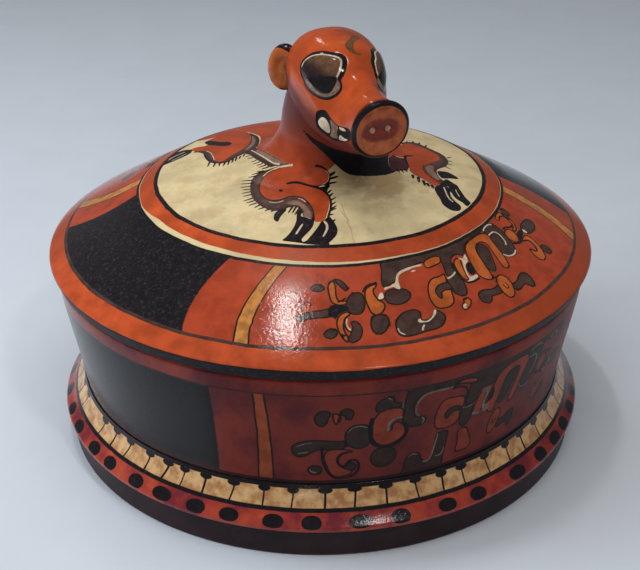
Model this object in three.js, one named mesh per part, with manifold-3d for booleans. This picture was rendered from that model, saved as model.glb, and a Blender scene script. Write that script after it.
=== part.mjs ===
// Lidded pottery bowl with a basal flange and a peccary-head knob, hand built in coiled clay.
// Millimetres, +Z up. The origin is on the ground at the vessel's axis, and the animal looks along -Y.
import * as THREE from 'three';
import { mergeVertices } from 'three/addons/utils/BufferGeometryUtils.js';
import Module from 'manifold-3d';

const wasm = await Module();
wasm.setup();

// Foot ring, the low base that everything stands on. It is set back under the flange's edge.
const footHeight = 17.5;
const footSetback = 3.7;
const footWidth = 15.5;
const footTaper = 1.2;
const footEase = 1.5;

// Bowl. Its height is from the top of the foot ring to the rim, and its flare is from foot to rim.
const bowlFootRadius = 145.9;
const bowlFlare = 10.3;
const bowlHeight = 93.5;
const bowlWall = 8;
const bowlFloor = 9.5;
const floorFillet = 16;
const rimEase = 3;
// Where the wall's curve is drawn to: radius past its near end, share of its height.
const wallPulls = [[2.5, 0.34], [-0.5, 0.8]];

// Basal flange, a slanting skirt round the bowl's foot.
const flangeReach = 13.5;
const flangeHeight = 22.8;
const flangeEdge = 4.4;
const flangeSag = 1.2;

// Lid: a lip over the bowl's rim, a straight-sided skirt and a flatter crown.
const lidOverhang = 3.8;
const lipHeight = 7.6;
const lipUndercut = 2.5;
const lipEase = 1.2;
const lidWall = 8;
const skirtRise = 35.7;
const crownRadius = 97;
const crownRise = 14.4;
const ventRadius = 8;
// Where the skirt's curve is drawn to: radius and height past its near end.
const skirtPulls = [[-10, 7.6], [21, -12.3]];
// Where the crown's curve is drawn to: shares of its radius and rise.
const crownPulls = [[0.8, 0.45], [0.42, 0.97]];

// Knob: the neck, which leans forward from the lid's crown to the head.
const neckFlare = 43;
const neckRadius = 25.5;
const neckThroat = 25;
const neckLean = 18;
// How far down the head's depth the neck's top is buried.
const neckBuried = 0.44;

// Knob: the head. Its start is forward of the vessel's axis, and its top is above the lid's crown.
const headStart = -8;
const headLength = 88;
const headWidth = 52;
const headTop = 78.6;
const headDepth = 56;
const headBulge = 1.2;
const mouthLength = 34;
const mouthHeight = 7;
const mouthDepth = 2;
const mouthDrop = 41.4;

// Knob: the hollow in the head, forward of its start and below its top, and the way its air gets out.
const cavityRadius = 15;
const cavityForward = 35.2;
const cavityDrop = 25.8;
const airwayRadius = 7.2;

// Knob: the snout's disc.
const discRadius = 16.3;
const discThickness = 4.6;
const discDish = 1.2;
const discPitch = 8;
const nostrilRadius = 2;
const nostrilDepth = 1.6;
const nostrilSpacing = 8.6;

// Knob: the ears. Each stands out from the back of the head, below its top.
const earHeight = 26.5;
const earWidth = 19;
const earThickness = 7.5;
const earBack = 14;
const earDrop = 22.1;
const earOut = 22.8;
const earTurn = 12;
// The cup in an ear's front: its shares of the ear's width, thickness and height, and its shift outward.
const cupShares = [0.66, 0.5, 0.7];
const cupShift = 1.5;

// Room between clay pieces that are luted together.
const lutingGap = 0.3;

// Facets round the large rings, and round the knob.
const ringFacets = 64;
const knobFacets = 32;

const flangeRadius = bowlFootRadius + flangeReach;
const footRadius = flangeRadius - footSetback;
const flangeTop = footHeight + flangeHeight;
const bowlRimRadius = bowlFootRadius + bowlFlare;
const rimHeight = footHeight + bowlHeight;
const seatRadius = bowlRimRadius - bowlWall;
const lidRadius = bowlRimRadius + lidOverhang;
const lipTop = rimHeight + lipHeight;
const crownFoot = lipTop + skirtRise;
const crownTop = crownFoot + crownRise;
const headCrown = crownTop + headTop;

const slipRed = 0xb8431f;
const slipOrange = 0xc9571f;
const slipBlack = 0x1d1a1c;
const slipBrown = 0x4a2420;

function slip(colour, roughness) {
  return new THREE.MeshStandardMaterial({ color: colour, roughness: roughness, metalness: 0 });
}

// Turns a profile of [radius, height] points round the Z axis.
function revolve(profile, facets) {
  const points = profile.map(([radius, height]) => new THREE.Vector2(radius, height));
  return new THREE.LatheGeometry(points, facets).rotateX(Math.PI / 2);
}

function bezier(from, first, second, to, steps) {
  const curve = new THREE.CubicBezierCurve(
    new THREE.Vector2(...from),
    new THREE.Vector2(...first),
    new THREE.Vector2(...second),
    new THREE.Vector2(...to),
  );
  return curve.getPoints(steps).map((point) => [point.x, point.y]);
}

// An arc of a circle from one angle to another, in degrees.
function arc(centreRadius, centreHeight, radius, start, end, steps) {
  const points = [];
  for (let step = 0; step <= steps; step += 1) {
    const angle = THREE.MathUtils.degToRad(start + ((end - start) * step) / steps);
    points.push([centreRadius + radius * Math.cos(angle), centreHeight + radius * Math.sin(angle)]);
  }
  return points;
}

// The same line moved sideways by a distance, to the left of its direction of travel.
function offset(line, distance) {
  return line.map((point, index) => {
    const before = line[Math.max(index - 1, 0)];
    const after = line[Math.min(index + 1, line.length - 1)];
    const along = new THREE.Vector2(after[0] - before[0], after[1] - before[1]).normalize();
    return [point[0] - along.y * distance, point[1] + along.x * distance];
  });
}

// Points between two ends of a line that hangs a little below the straight.
function sagging(from, to, sag, steps) {
  const points = [];
  for (let step = 1; step < steps; step += 1) {
    const share = step / steps;
    const low = sag * Math.sin(Math.PI * share);
    points.push([
      THREE.MathUtils.lerp(from[0], to[0], share) - low,
      THREE.MathUtils.lerp(from[1], to[1], share) - low,
    ]);
  }
  return points;
}

function solid(geometry) {
  const bare = geometry.index ? geometry.clone() : geometry;
  bare.deleteAttribute('normal');
  bare.deleteAttribute('uv');
  const merged = mergeVertices(bare, 1e-4);
  return new wasm.Manifold(new wasm.Mesh({
    numProp: 3,
    vertProperties: new Float32Array(merged.attributes.position.array),
    triVerts: new Uint32Array(merged.index.array),
  }));
}

function geometryOf(manifold) {
  const mesh = manifold.getMesh();
  const geometry = new THREE.BufferGeometry();
  geometry.setAttribute('position', new THREE.BufferAttribute(mesh.vertProperties, 3));
  geometry.setIndex(new THREE.BufferAttribute(mesh.triVerts, 1));
  const flat = geometry.toNonIndexed();
  flat.computeVertexNormals();
  return flat;
}

// Closed skin over rings of points, closed to a pole at each end.
function loft(rings, firstPole, lastPole) {
  const count = rings[0].length;
  const positions = [...rings.flat(), firstPole, lastPole].flatMap((point) => point.toArray());
  const first = rings.length * count;
  const index = [];
  for (let side = 0; side < count; side += 1) {
    const next = (side + 1) % count;
    index.push(first, next, side);
    for (let ring = 0; ring + 1 < rings.length; ring += 1) {
      const low = ring * count;
      const high = low + count;
      index.push(low + side, low + next, high + next, low + side, high + next, high + side);
    }
    const last = (rings.length - 1) * count;
    index.push(first + 1, last + side, last + next);
  }
  const geometry = new THREE.BufferGeometry();
  geometry.setAttribute('position', new THREE.Float32BufferAttribute(positions, 3));
  geometry.setIndex(index);
  return geometry;
}

// Bowl and base.

// The bowl's outer wall, from the flange's top to the start of the rim's easing.
function bowlWallLine() {
  const top = rimHeight - rimEase;
  const [low, high] = wallPulls;
  return bezier(
    [bowlFootRadius, flangeTop],
    [bowlFootRadius + low[0], THREE.MathUtils.lerp(flangeTop, top, low[1])],
    [bowlRimRadius + high[0], THREE.MathUtils.lerp(flangeTop, top, high[1])],
    [bowlRimRadius, top],
    6,
  );
}

function bowlGeometry() {
  const outside = bowlWallLine();
  const floorTop = footHeight + bowlFloor;
  const inner = bowlFootRadius - bowlWall;
  const inside = outside
    .map(([radius, height]) => [radius - bowlWall, height])
    .filter(([, height]) => height > floorTop + floorFillet);
  return revolve([
    [0, footHeight],
    [bowlFootRadius, footHeight],
    ...outside,
    ...arc(bowlRimRadius - rimEase, rimHeight - rimEase, rimEase, 30, 90, 2),
    [seatRadius, rimHeight],
    ...inside.reverse(),
    ...arc(inner - floorFillet, floorTop + floorFillet, floorFillet, 0, -90, 3),
    [0, floorTop],
  ], ringFacets);
}

function flangeGeometry() {
  const inner = bowlFootRadius + lutingGap;
  const half = flangeEdge / 2;
  const edge = arc(flangeRadius - half, footHeight + half, half, -50, 40, 4);
  return revolve([
    [inner, footHeight],
    [flangeRadius - half, footHeight],
    ...edge,
    ...sagging(edge[edge.length - 1], [inner, flangeTop], flangeSag, 4),
    [inner, flangeTop],
    [inner, footHeight],
  ], ringFacets);
}

function footGeometry() {
  return revolve([
    [footRadius - footWidth, 0],
    [footRadius - footEase, 0],
    [footRadius, footEase],
    [footRadius - footTaper / 2, footHeight / 2],
    [footRadius - footTaper, footHeight],
    [footRadius - footWidth, footHeight],
    [footRadius - footWidth, 0],
  ], ringFacets);
}

// Lid.

// The lid's outer line from the lip to the axis.
function domeLine() {
  const [skirtLow, skirtHigh] = skirtPulls;
  const skirt = bezier(
    [lidRadius, lipTop],
    [lidRadius + skirtLow[0], lipTop + skirtLow[1]],
    [crownRadius + skirtHigh[0], crownFoot + skirtHigh[1]],
    [crownRadius, crownFoot],
    6,
  );
  const pulls = crownPulls.map(([out, up]) => [crownRadius * out, crownFoot + crownRise * up]);
  const crown = bezier([crownRadius, crownFoot], ...pulls, [0, crownTop], 7);
  return [...skirt, ...crown.slice(1)];
}

// Keeps the part of a line outside a radius, and ends it exactly there.
function stopAt(line, radius) {
  const kept = line.filter(([at]) => at > radius);
  const next = line[kept.length];
  const last = kept[kept.length - 1];
  const share = (last[0] - radius) / (last[0] - next[0]);
  return [...kept, [radius, last[1] + (next[1] - last[1]) * share]];
}

// The inside is plainer than the outside, with every second point of its line.
function lidGeometry() {
  const outside = domeLine();
  const inside = offset(outside, lidWall).filter(([radius], index) => radius < seatRadius && index % 2 === 1);
  return revolve([
    [seatRadius, rimHeight],
    [lidRadius - lipUndercut, rimHeight],
    [lidRadius, lipTop - lipEase],
    [lidRadius - lipEase / 3, lipTop + lipEase / 6],
    ...stopAt(outside.slice(1), ventRadius),
    ...stopAt(inside, ventRadius).reverse(),
    [seatRadius, rimHeight],
  ], ringFacets);
}

// The lid's outside as a block that the neck is shaped to, raised by the luting gap.
function domeBlock() {
  const raised = domeLine().map(([radius, height]) => [radius, height + lutingGap]);
  return solid(revolve([[0, rimHeight], [lidRadius, rimHeight], ...raised], ringFacets));
}

// Knob.

// One level of the neck, a circle whose centre moves forward with the neck's lean.
function neckRing(share, radius) {
  const height = THREE.MathUtils.lerp(crownTop - lidWall, headCrown - headDepth * neckBuried, share);
  const forward = neckLean * share;
  const ring = [];
  for (let side = 0; side < knobFacets; side += 1) {
    const angle = (side / knobFacets) * Math.PI * 2;
    ring.push(new THREE.Vector3(radius * Math.cos(angle), radius * Math.sin(angle) - forward, height));
  }
  return ring;
}

// The levels of the neck as shares of its height, each with its radius.
function neckBody() {
  const spread = neckFlare - neckRadius;
  const levels = [
    [0, neckFlare + spread * 0.35],
    [0.09, neckFlare],
    [0.16, neckRadius + spread * 0.62],
    [0.24, neckRadius + spread * 0.34],
    [0.34, neckRadius + spread * 0.14],
    [0.46, neckRadius],
    [0.66, neckThroat],
    [0.84, neckThroat - 1.5],
    [1, neckThroat - 5],
  ];
  const rings = levels.map(([share, radius]) => neckRing(share, radius));
  return solid(loft(rings, middle(rings[0]), middle(rings[rings.length - 1])));
}

// Cross sections of the head: place along it, top and bottom as shares of the head's depth from its
// top, half width as a share of the head's own, and how far the upper half narrows to the nose's bridge.
const headSections = [
  [0, 0.35, 0.61, 0.3, 0],
  [0.04, 0.24, 0.72, 0.58, 0],
  [0.12, 0.1, 0.8, 0.77, 0],
  [0.21, 0.02, 0.85, 0.92, 0],
  [0.32, 0, 0.9, 0.99, 0],
  [0.44, 0.02, 0.955, 1, 0],
  [0.555, 0.06, 0.99, 0.95, 0.04],
  [0.64, 0.13, 1, 0.87, 0.16],
  [0.73, 0.24, 1, 0.76, 0.4],
  [0.82, 0.3, 0.985, 0.65, 0.36],
  [0.915, 0.34, 0.94, 0.58, 0.16],
  [1, 0.345, 0.9, 0.56, 0.04],
];

const lastSection = headSections[headSections.length - 1];
const snoutMiddle = headCrown - ((lastSection[1] + lastSection[2]) / 2) * headDepth;
const pitch = THREE.MathUtils.degToRad(discPitch);
const snoutFacing = new THREE.Vector3(0, -Math.cos(pitch), -Math.sin(pitch));
const snoutEnd = new THREE.Vector3(0, -headStart - headLength, snoutMiddle);

function middle(ring) {
  return ring.reduce((sum, point) => sum.add(point), new THREE.Vector3()).divideScalar(ring.length);
}

function squared(share) {
  return Math.sign(share) * Math.abs(share) ** 0.84;
}

// One cross section, a rounded square of the section's sizes, that leans as the disc does near the snout.
function headRing(place, top, bottom, wide, pinch, growth) {
  const centre = headCrown - ((top + bottom) / 2) * headDepth;
  const tall = ((bottom - top) / 2) * headDepth + growth;
  const across = (wide * headWidth) / 2 + growth;
  const ring = [];
  for (let side = 0; side < knobFacets; side += 1) {
    const angle = (side / knobFacets) * Math.PI * 2;
    const right = squared(Math.cos(angle)) * (1 - pinch * Math.max(Math.sin(angle), 0));
    const height = centre + squared(Math.sin(angle)) * tall;
    const lean = (height - snoutMiddle) * Math.tan(pitch) * place ** 3;
    ring.push(new THREE.Vector3(right * across, -headStart - headLength * place - lean, height));
  }
  return ring;
}

function headBody(growth) {
  const columns = [1, 2, 3, 4].map((column) => new THREE.SplineCurve(
    headSections.map((section) => new THREE.Vector2(section[0], section[column])),
  ));
  const rings = [];
  const steps = 20;
  for (let step = 0; step <= steps; step += 1) {
    const points = columns.map((column) => column.getPoint(step / steps));
    rings.push(headRing(points[0].x, ...points.map((point) => point.y), growth));
  }
  const back = middle(rings[0]);
  back.y += headBulge + growth;
  return solid(loft(rings, back, middle(rings[steps])));
}

function placed(geometry, position, direction) {
  const turn = new THREE.Quaternion().setFromUnitVectors(new THREE.Vector3(0, 0, 1), direction);
  return geometry.applyMatrix4(new THREE.Matrix4().compose(position, turn, new THREE.Vector3(1, 1, 1)));
}

function rod(radius, length) {
  return new THREE.CylinderGeometry(radius, radius, length, 14).rotateX(Math.PI / 2);
}

const hollowCentre = new THREE.Vector3(0, -headStart - cavityForward, headCrown - cavityDrop);

// The way down through the neck and the lid that lets the hollow's air out in the kiln.
function airWay() {
  const low = new THREE.Vector3(0, 0, crownTop - lidWall);
  const along = hollowCentre.clone().sub(low);
  const centre = low.clone().addScaledVector(along, 0.5);
  return solid(placed(rod(airwayRadius, along.length()), centre, along.clone().normalize()));
}

// The open mouth, a groove along each side of the muzzle up to the disc.
function mouthCut() {
  const groove = new THREE.BoxGeometry(headWidth, mouthLength, mouthHeight);
  groove.translate(0, snoutEnd.y + mouthLength / 2 + lutingGap, headCrown - mouthDrop);
  return solid(groove).subtract(headBody(-mouthDepth));
}

function headSolid() {
  const hollow = solid(new THREE.SphereGeometry(cavityRadius, 16, 10).translate(...hollowCentre.toArray()));
  return headBody(0).subtract(hollow).subtract(airWay()).subtract(mouthCut());
}

function neckSolid() {
  return neckBody().subtract(domeBlock()).subtract(headBody(lutingGap)).subtract(airWay());
}

// The flat disc at the end of the snout, slightly dished, with two nostrils.
function discSolid() {
  const back = snoutEnd.clone().addScaledVector(snoutFacing, lutingGap);
  const edge = discThickness / 2;
  const profile = [
    [0, 0],
    [discRadius - edge, 0],
    ...arc(discRadius - edge * 0.8, edge, edge * 0.8, -50, 50, 4),
    [discRadius - edge * 1.2, discThickness],
    [discRadius * 0.55, discThickness - discDish * 0.7],
    [0, discThickness - discDish],
  ];
  const disc = solid(placed(revolve(profile, knobFacets), back, snoutFacing));
  return [-1, 1].reduce((body, side) => {
    const at = back.clone().addScaledVector(snoutFacing, discThickness - discDish);
    at.x += (side * nostrilSpacing) / 2;
    return body.subtract(solid(placed(rod(nostrilRadius, nostrilDepth * 2), at, snoutFacing)));
  }, disc);
}

// One ear: a rounded, slightly cupped leaf of clay that faces forward and a little outward.
function earSolid(side) {
  const leaf = new THREE.SphereGeometry(0.5, 18, 10).scale(earWidth, earThickness, earHeight);
  const cup = new THREE.SphereGeometry(0.5, 14, 8).scale(...cupShares);
  cup.scale(earWidth, earThickness, earHeight);
  cup.translate(cupShift, -earThickness / 2, 0);
  const turn = new THREE.Matrix4().makeRotationZ(THREE.MathUtils.degToRad(earTurn));
  turn.setPosition(earOut, -headStart - earBack, headCrown - earDrop);
  const cupped = geometryOf(solid(leaf).subtract(solid(cup))).applyMatrix4(turn);
  const whole = solid(cupped).subtract(headBody(lutingGap)).subtract(neckBody());
  return side > 0 ? whole : whole.mirror([1, 0, 0]);
}

const vessel = new THREE.Group();

function add(name, geometry, material) {
  const mesh = new THREE.Mesh(geometry, material);
  mesh.name = name;
  vessel.add(mesh);
}

add('foot_ring', footGeometry(), slip(slipBrown, 0.4));
add('bowl', bowlGeometry(), slip(slipRed, 0.3));
add('basal_flange', flangeGeometry(), slip(slipOrange, 0.3));
add('lid', lidGeometry(), slip(slipRed, 0.3));
add('knob_neck', geometryOf(neckSolid()), slip(slipRed, 0.3));
add('peccary_head', geometryOf(headSolid()), slip(slipOrange, 0.25));
add('snout_disc', geometryOf(discSolid()), slip(slipBlack, 0.25));
add('ear_left', geometryOf(earSolid(1)), slip(slipOrange, 0.25));
add('ear_right', geometryOf(earSolid(-1)), slip(slipOrange, 0.25));

export default vessel;
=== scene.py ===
# Lidded pottery bowl, slip painted and burnished, with a peccary's head for a knob.
import bpy
import bmesh
import math
import numpy as np
from mathutils import Euler, Matrix, Vector
from mathutils.bvhtree import BVHTree


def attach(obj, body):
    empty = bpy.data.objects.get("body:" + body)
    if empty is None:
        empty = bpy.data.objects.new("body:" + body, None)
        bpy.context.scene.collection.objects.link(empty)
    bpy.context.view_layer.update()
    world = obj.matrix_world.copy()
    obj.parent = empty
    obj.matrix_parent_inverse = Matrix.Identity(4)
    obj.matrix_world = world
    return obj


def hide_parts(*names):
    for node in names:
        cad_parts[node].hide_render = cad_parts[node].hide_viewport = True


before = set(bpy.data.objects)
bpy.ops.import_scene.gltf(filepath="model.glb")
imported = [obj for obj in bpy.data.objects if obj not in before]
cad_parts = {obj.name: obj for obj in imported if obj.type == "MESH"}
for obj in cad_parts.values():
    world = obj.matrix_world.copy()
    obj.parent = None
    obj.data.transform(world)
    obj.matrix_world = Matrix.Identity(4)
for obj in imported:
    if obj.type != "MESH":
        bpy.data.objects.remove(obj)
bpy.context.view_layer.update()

MM = 0.001
EPS = 1e-9

# Sizes of the vessel in millimetres, the same as in the part's source.
FOOT_HEIGHT = 17.5
FOOT_WIDTH = 15.5
FOOT_TAPER = 1.2
BOWL_FOOT = 145.9
BOWL_RIM = 156.2
BOWL_WALL = 8.0
BOWL_FLOOR = 9.5
FLANGE_EDGE = 4.4
FLANGE_SAG = 1.2
FLANGE_RADIUS = 159.4
FLANGE_TOP = 40.3
FOOT_RADIUS = 155.7
RIM_HEIGHT = 111.0
SEAT_RADIUS = 148.2
LID_RADIUS = 160.0
LIP_TOP = 118.6
LIP_UNDERCUT = 2.5
LID_WALL = 8.0
CROWN_FOOT = 154.3
CROWN_RADIUS = 97.0
CROWN_TOP = 168.7
VENT_RADIUS = 8.0
CROWN_BY_NECK = 168.1
HEAD_CROWN = 247.3
HEAD_START = -8.0
HEAD_LENGTH = 88.0
HEAD_WIDTH = 52.0
HEAD_DEPTH = 56.0
DISC_RADIUS = 16.3
DISC_THICKNESS = 4.6
DISC_DISH = 1.2
DISC_PITCH = math.radians(8)
LUTING = 0.3
FACETS = {
    "foot": 360, "bowl": 500, "flange": 1400, "lid": 360, "neck": 240, "head": 336, "disc": 240, "ear": 120,
}

# Colours of the fired slips.
RED_SLIP = (0.5, 0.078, 0.023)
PANEL_RED = (0.45, 0.063, 0.023)
ORANGE_SLIP = (0.58, 0.13, 0.028)
AMBER_SLIP = (0.62, 0.25, 0.06)
CREAM_SLIP = (0.76, 0.62, 0.35)
STAINED_CREAM = (0.42, 0.25, 0.11)
BONE_SLIP = (0.74, 0.6, 0.43)
BLACK_SLIP = (0.014, 0.011, 0.013)
HEAD_SLIP = (0.5, 0.077, 0.018)
RIM_SLIP = (0.56, 0.086, 0.024)
INK_LINE = (0.026, 0.017, 0.01)
UMBER_SLIP = (0.078, 0.042, 0.034)
FUR_SLIP = (0.115, 0.06, 0.05)
PALE_FUR = (0.29, 0.17, 0.12)
# Dark purple-brown: the chest strip's slip, and the painted shade of the neck and the jaw under the head.
CHEST_SLIP_AND_SHADE = (0.07, 0.02, 0.025)
FOOT_SLIP = (0.03, 0.014, 0.017)
# The wall's colours are darker copies of the slips: painted shade, for the wall stands nearly upright under
# the lid's overhang, away from the light above.
WALL_SHADE = 0.5
WALL_PANEL = (0.19, 0.027, 0.018)
WALL_DUSK = (0.09, 0.014, 0.017)
WALL_ORANGE_SLIP = (0.26, 0.042, 0.02)
WALL_STRIPE = (0.3, 0.062, 0.022)
BARE_CLAY = (0.42, 0.19, 0.1)
SPECK_GREY = (0.075, 0.07, 0.1)
RIM_LIGHT = (0.72, 0.17, 0.032)
HEAD_LIGHT = (0.6, 0.15, 0.03)
# Darker colours of the flange's band and tiles: painted shade on its right side.
FLANGE_SHADE_BAND = (0.13, 0.014, 0.028)
FLANGE_SHADE_TILE = (0.4, 0.2, 0.1)
STAND_GREY = (0.7, 0.765, 0.84)
ROOM_GREY = (0.9, 0.92, 0.95)

# Slips of small places: the colour, its dark pools, its light places, and how wide its clouds are.
SMALL_SLIPS = {
    "tile": ((0.72, 0.44, 0.2), (0.44, 0.2, 0.08), (0.85, 0.6, 0.33), 6),
    "edge band": ((0.45, 0.06, 0.032), (0.19, 0.022, 0.032), (0.72, 0.15, 0.04), 16),
    # The wall's bone slip is darker too: painted shade, like the wall's other colours.
    "wall bone": ((0.2, 0.15, 0.12), (0.1, 0.07, 0.06), (0.32, 0.25, 0.19), 6),
    "olive": ((0.16, 0.075, 0.03), (0.09, 0.04, 0.02), (0.24, 0.12, 0.05), 3),
    "brow": ((0.17, 0.085, 0.045), (0.1, 0.05, 0.03), (0.26, 0.15, 0.09), 3),
    "dusk": ((0.03, 0.017, 0.02), (0.02, 0.01, 0.012), (0.06, 0.03, 0.026), 3),
    "ash": ((0.28, 0.19, 0.13), (0.17, 0.1, 0.07), (0.4, 0.3, 0.22), 2),
    "disc": ((0.52, 0.13, 0.035), (0.34, 0.07, 0.025), (0.62, 0.24, 0.06), 6),
    "disc middle": ((0.24, 0.03, 0.014), (0.16, 0.02, 0.01), (0.34, 0.06, 0.02), 4),
    "nostril": ((0.62, 0.44, 0.34), (0.36, 0.18, 0.12), (0.8, 0.65, 0.55), 1.5),
}


# Curves and outlines, in millimetres.

def bezier(a, b, c, d, steps):
    t = np.linspace(0, 1, steps + 1)[:, None]
    a, b, c, d = (np.array(p, float) for p in (a, b, c, d))
    return (1 - t) ** 3 * a + 3 * (1 - t) ** 2 * t * b + 3 * (1 - t) * t ** 2 * c + t ** 3 * d


def arc(centre, radius, start, end, steps):
    angle = np.radians(np.linspace(start, end, steps + 1))
    return np.stack([centre[0] + radius * np.cos(angle), centre[1] + radius * np.sin(angle)], 1)


def line(a, b, steps):
    return np.linspace(np.array(a, float), np.array(b, float), steps + 1)


# Joins runs of points into one outline and drops points that coincide.
def joined(*runs):
    points = np.concatenate([np.atleast_2d(np.array(run, float)) for run in runs])
    apart = np.ones(len(points), bool)
    apart[1:] = np.linalg.norm(np.diff(points, axis=0), axis=1) > 0.02
    return points[apart]


def moved_in(run, distance):
    along = np.gradient(run, axis=0)
    along /= np.linalg.norm(along, axis=1)[:, None]
    return run + np.stack([-along[:, 1], along[:, 0]], 1) * distance


# Brush-drawn curve through given points. A doubled point is a corner.
def brushed(points, closed, steps=6):
    p = np.array(points, float)
    if closed:
        before, here, after, beyond = np.roll(p, 1, 0), p, np.roll(p, -1, 0), np.roll(p, -2, 0)
    else:
        full = np.concatenate([p[:1], p, p[-1:]])
        before, here, after, beyond = full[:-3], full[1:-2], full[2:-1], full[3:]
    t = np.linspace(0, 1, steps, endpoint=False)[None, :, None]
    before, here, after, beyond = (q[:, None, :] for q in (before, here, after, beyond))
    curve = 0.5 * (2 * here + (after - before) * t + (2 * before - 5 * here + 4 * after - beyond) * t ** 2
                   + (3 * here - before - 3 * after + beyond) * t ** 3)
    curve = curve.reshape(-1, 2)
    return curve if closed else np.concatenate([curve, p[-1:]])


# Distance from each spot to a curve's nearest piece, and whether the curve goes round the spot.
def distance_to(spots, curve, closed):
    a = curve
    b = np.roll(curve, -1, 0) if closed else curve[1:]
    a = a if closed else curve[:-1]
    edge = b - a
    length = np.maximum((edge ** 2).sum(1), EPS)
    best = np.full(len(spots), 1e9)
    inside = np.zeros(len(spots), bool)
    for k in range(len(a)):
        rel = spots - a[k]
        t = np.clip(rel @ edge[k] / length[k], 0, 1)
        best = np.minimum(best, ((rel - t[:, None] * edge[k]) ** 2).sum(1))
        if closed:
            crosses = (a[k, 1] > spots[:, 1]) != (b[k, 1] > spots[:, 1])
            rise = edge[k, 1] if abs(edge[k, 1]) > EPS else EPS
            inside ^= crosses & (spots[:, 0] < a[k, 0] + (spots[:, 1] - a[k, 1]) * edge[k, 0] / rise)
    return np.sqrt(best), inside


# A coat's depth is kept up to this many millimetres from its edge.
FAR = 6.0


# How deep each spot lies in the painted shapes: above 0 inside, below 0 outside, in millimetres.
# A shape is a closed patch, or a brush line as a pair of its width and its points.
def painted_depth(spots, shapes, scale=(1, 1)):
    depth = np.full(len(spots), -FAR)
    for shape in shapes:
        is_line = isinstance(shape, tuple)
        points = np.array(shape[1] if is_line else shape, float) * scale
        curve = brushed(points, closed=not is_line)
        low, high = curve.min(0) - FAR, curve.max(0) + FAR
        near = np.flatnonzero(((spots > low) & (spots < high)).all(1))
        if not len(near):
            continue
        gap, inside = distance_to(spots[near], curve, not is_line)
        deep = shape[0] / 2 - gap if is_line else np.where(inside, gap, -gap)
        depth[near] = np.maximum(depth[near], np.minimum(deep, FAR))
    return depth


def depth_where(mask, flat, shapes, scale=(1, 1)):
    depth = np.full(len(flat), -FAR)
    depth[mask] = painted_depth(flat[mask], shapes, scale)
    return depth


# Meshes.

def new_mesh(name, vertices, faces):
    mesh = bpy.data.meshes.new(name)
    mesh.from_pydata([tuple(v) for v in np.asarray(vertices, float) * MM], [], [tuple(f) for f in faces])
    return mesh


# Merges doubles, turns every face outwards and shades the mesh smooth.
def finished_mesh(mesh):
    work = bmesh.new()
    work.from_mesh(mesh)
    bmesh.ops.remove_doubles(work, verts=work.verts, dist=2e-6)
    bmesh.ops.dissolve_degenerate(work, edges=work.edges, dist=1e-7)
    bmesh.ops.recalc_face_normals(work, faces=work.faces)
    if work.calc_volume(signed=True) < 0:
        bmesh.ops.reverse_faces(work, faces=work.faces)
    work.to_mesh(mesh)
    work.free()
    mesh.polygons.foreach_set("use_smooth", [True] * len(mesh.polygons))
    return mesh


def spots_of(mesh):
    flat = np.empty(len(mesh.vertices) * 3)
    mesh.vertices.foreach_get("co", flat)
    return flat.reshape(-1, 3) / MM


def move_spots(mesh, spots):
    mesh.vertices.foreach_set("co", (spots * MM).ravel())
    mesh.update()


def normals_of(mesh):
    flat = np.empty(len(mesh.vertices) * 3)
    mesh.vertices.foreach_get("normal", flat)
    return flat.reshape(-1, 3)


# Stores one coat of paint on a mesh as its depth at each vertex.
def lay_coat(mesh, name, depth):
    coat = mesh.attributes.new(name, "FLOAT", "POINT")
    coat.data.foreach_set("value", np.asarray(depth, np.float32))


def put_in_scene(name, mesh, material, body, nodes):
    piece = bpy.data.objects.new(name, mesh)
    bpy.context.scene.collection.objects.link(piece)
    mesh.materials.clear()
    mesh.materials.append(material)
    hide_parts(*nodes)
    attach(piece, body)


# Nodes.

def add_node(tree, kind, inputs=(), **settings):
    node = tree.nodes.new(kind)
    for key, value in settings.items():
        setattr(node, key, value)
    for key, value in dict(inputs).items():
        socket = node.inputs[key]
        if isinstance(value, bpy.types.NodeSocket):
            tree.links.new(value, socket)
        else:
            socket.default_value = value
    return node


def maths(tree, operation, *values, clamp=False):
    inputs = dict(enumerate(values))
    return add_node(tree, "ShaderNodeMath", inputs, operation=operation, use_clamp=clamp).outputs[0]


def plus(tree, first, second):
    return maths(tree, "ADD", first, second)


def less(tree, first, second):
    return maths(tree, "SUBTRACT", first, second)


def times(tree, first, second):
    return maths(tree, "MULTIPLY", first, second)


def scaled(tree, value, factor, offset):
    return maths(tree, "MULTIPLY_ADD", value, factor, offset)


def larger(tree, first, second):
    return maths(tree, "MAXIMUM", first, second)


def parts_of(tree, place):
    return add_node(tree, "ShaderNodeSeparateXYZ", {0: place}).outputs


def input_socket(tree, name, kind, value=None):
    socket = tree.interface.new_socket(name=name, in_out="INPUT", socket_type=kind)
    if value is not None:
        socket.default_value = value
    return socket.identifier


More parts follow.
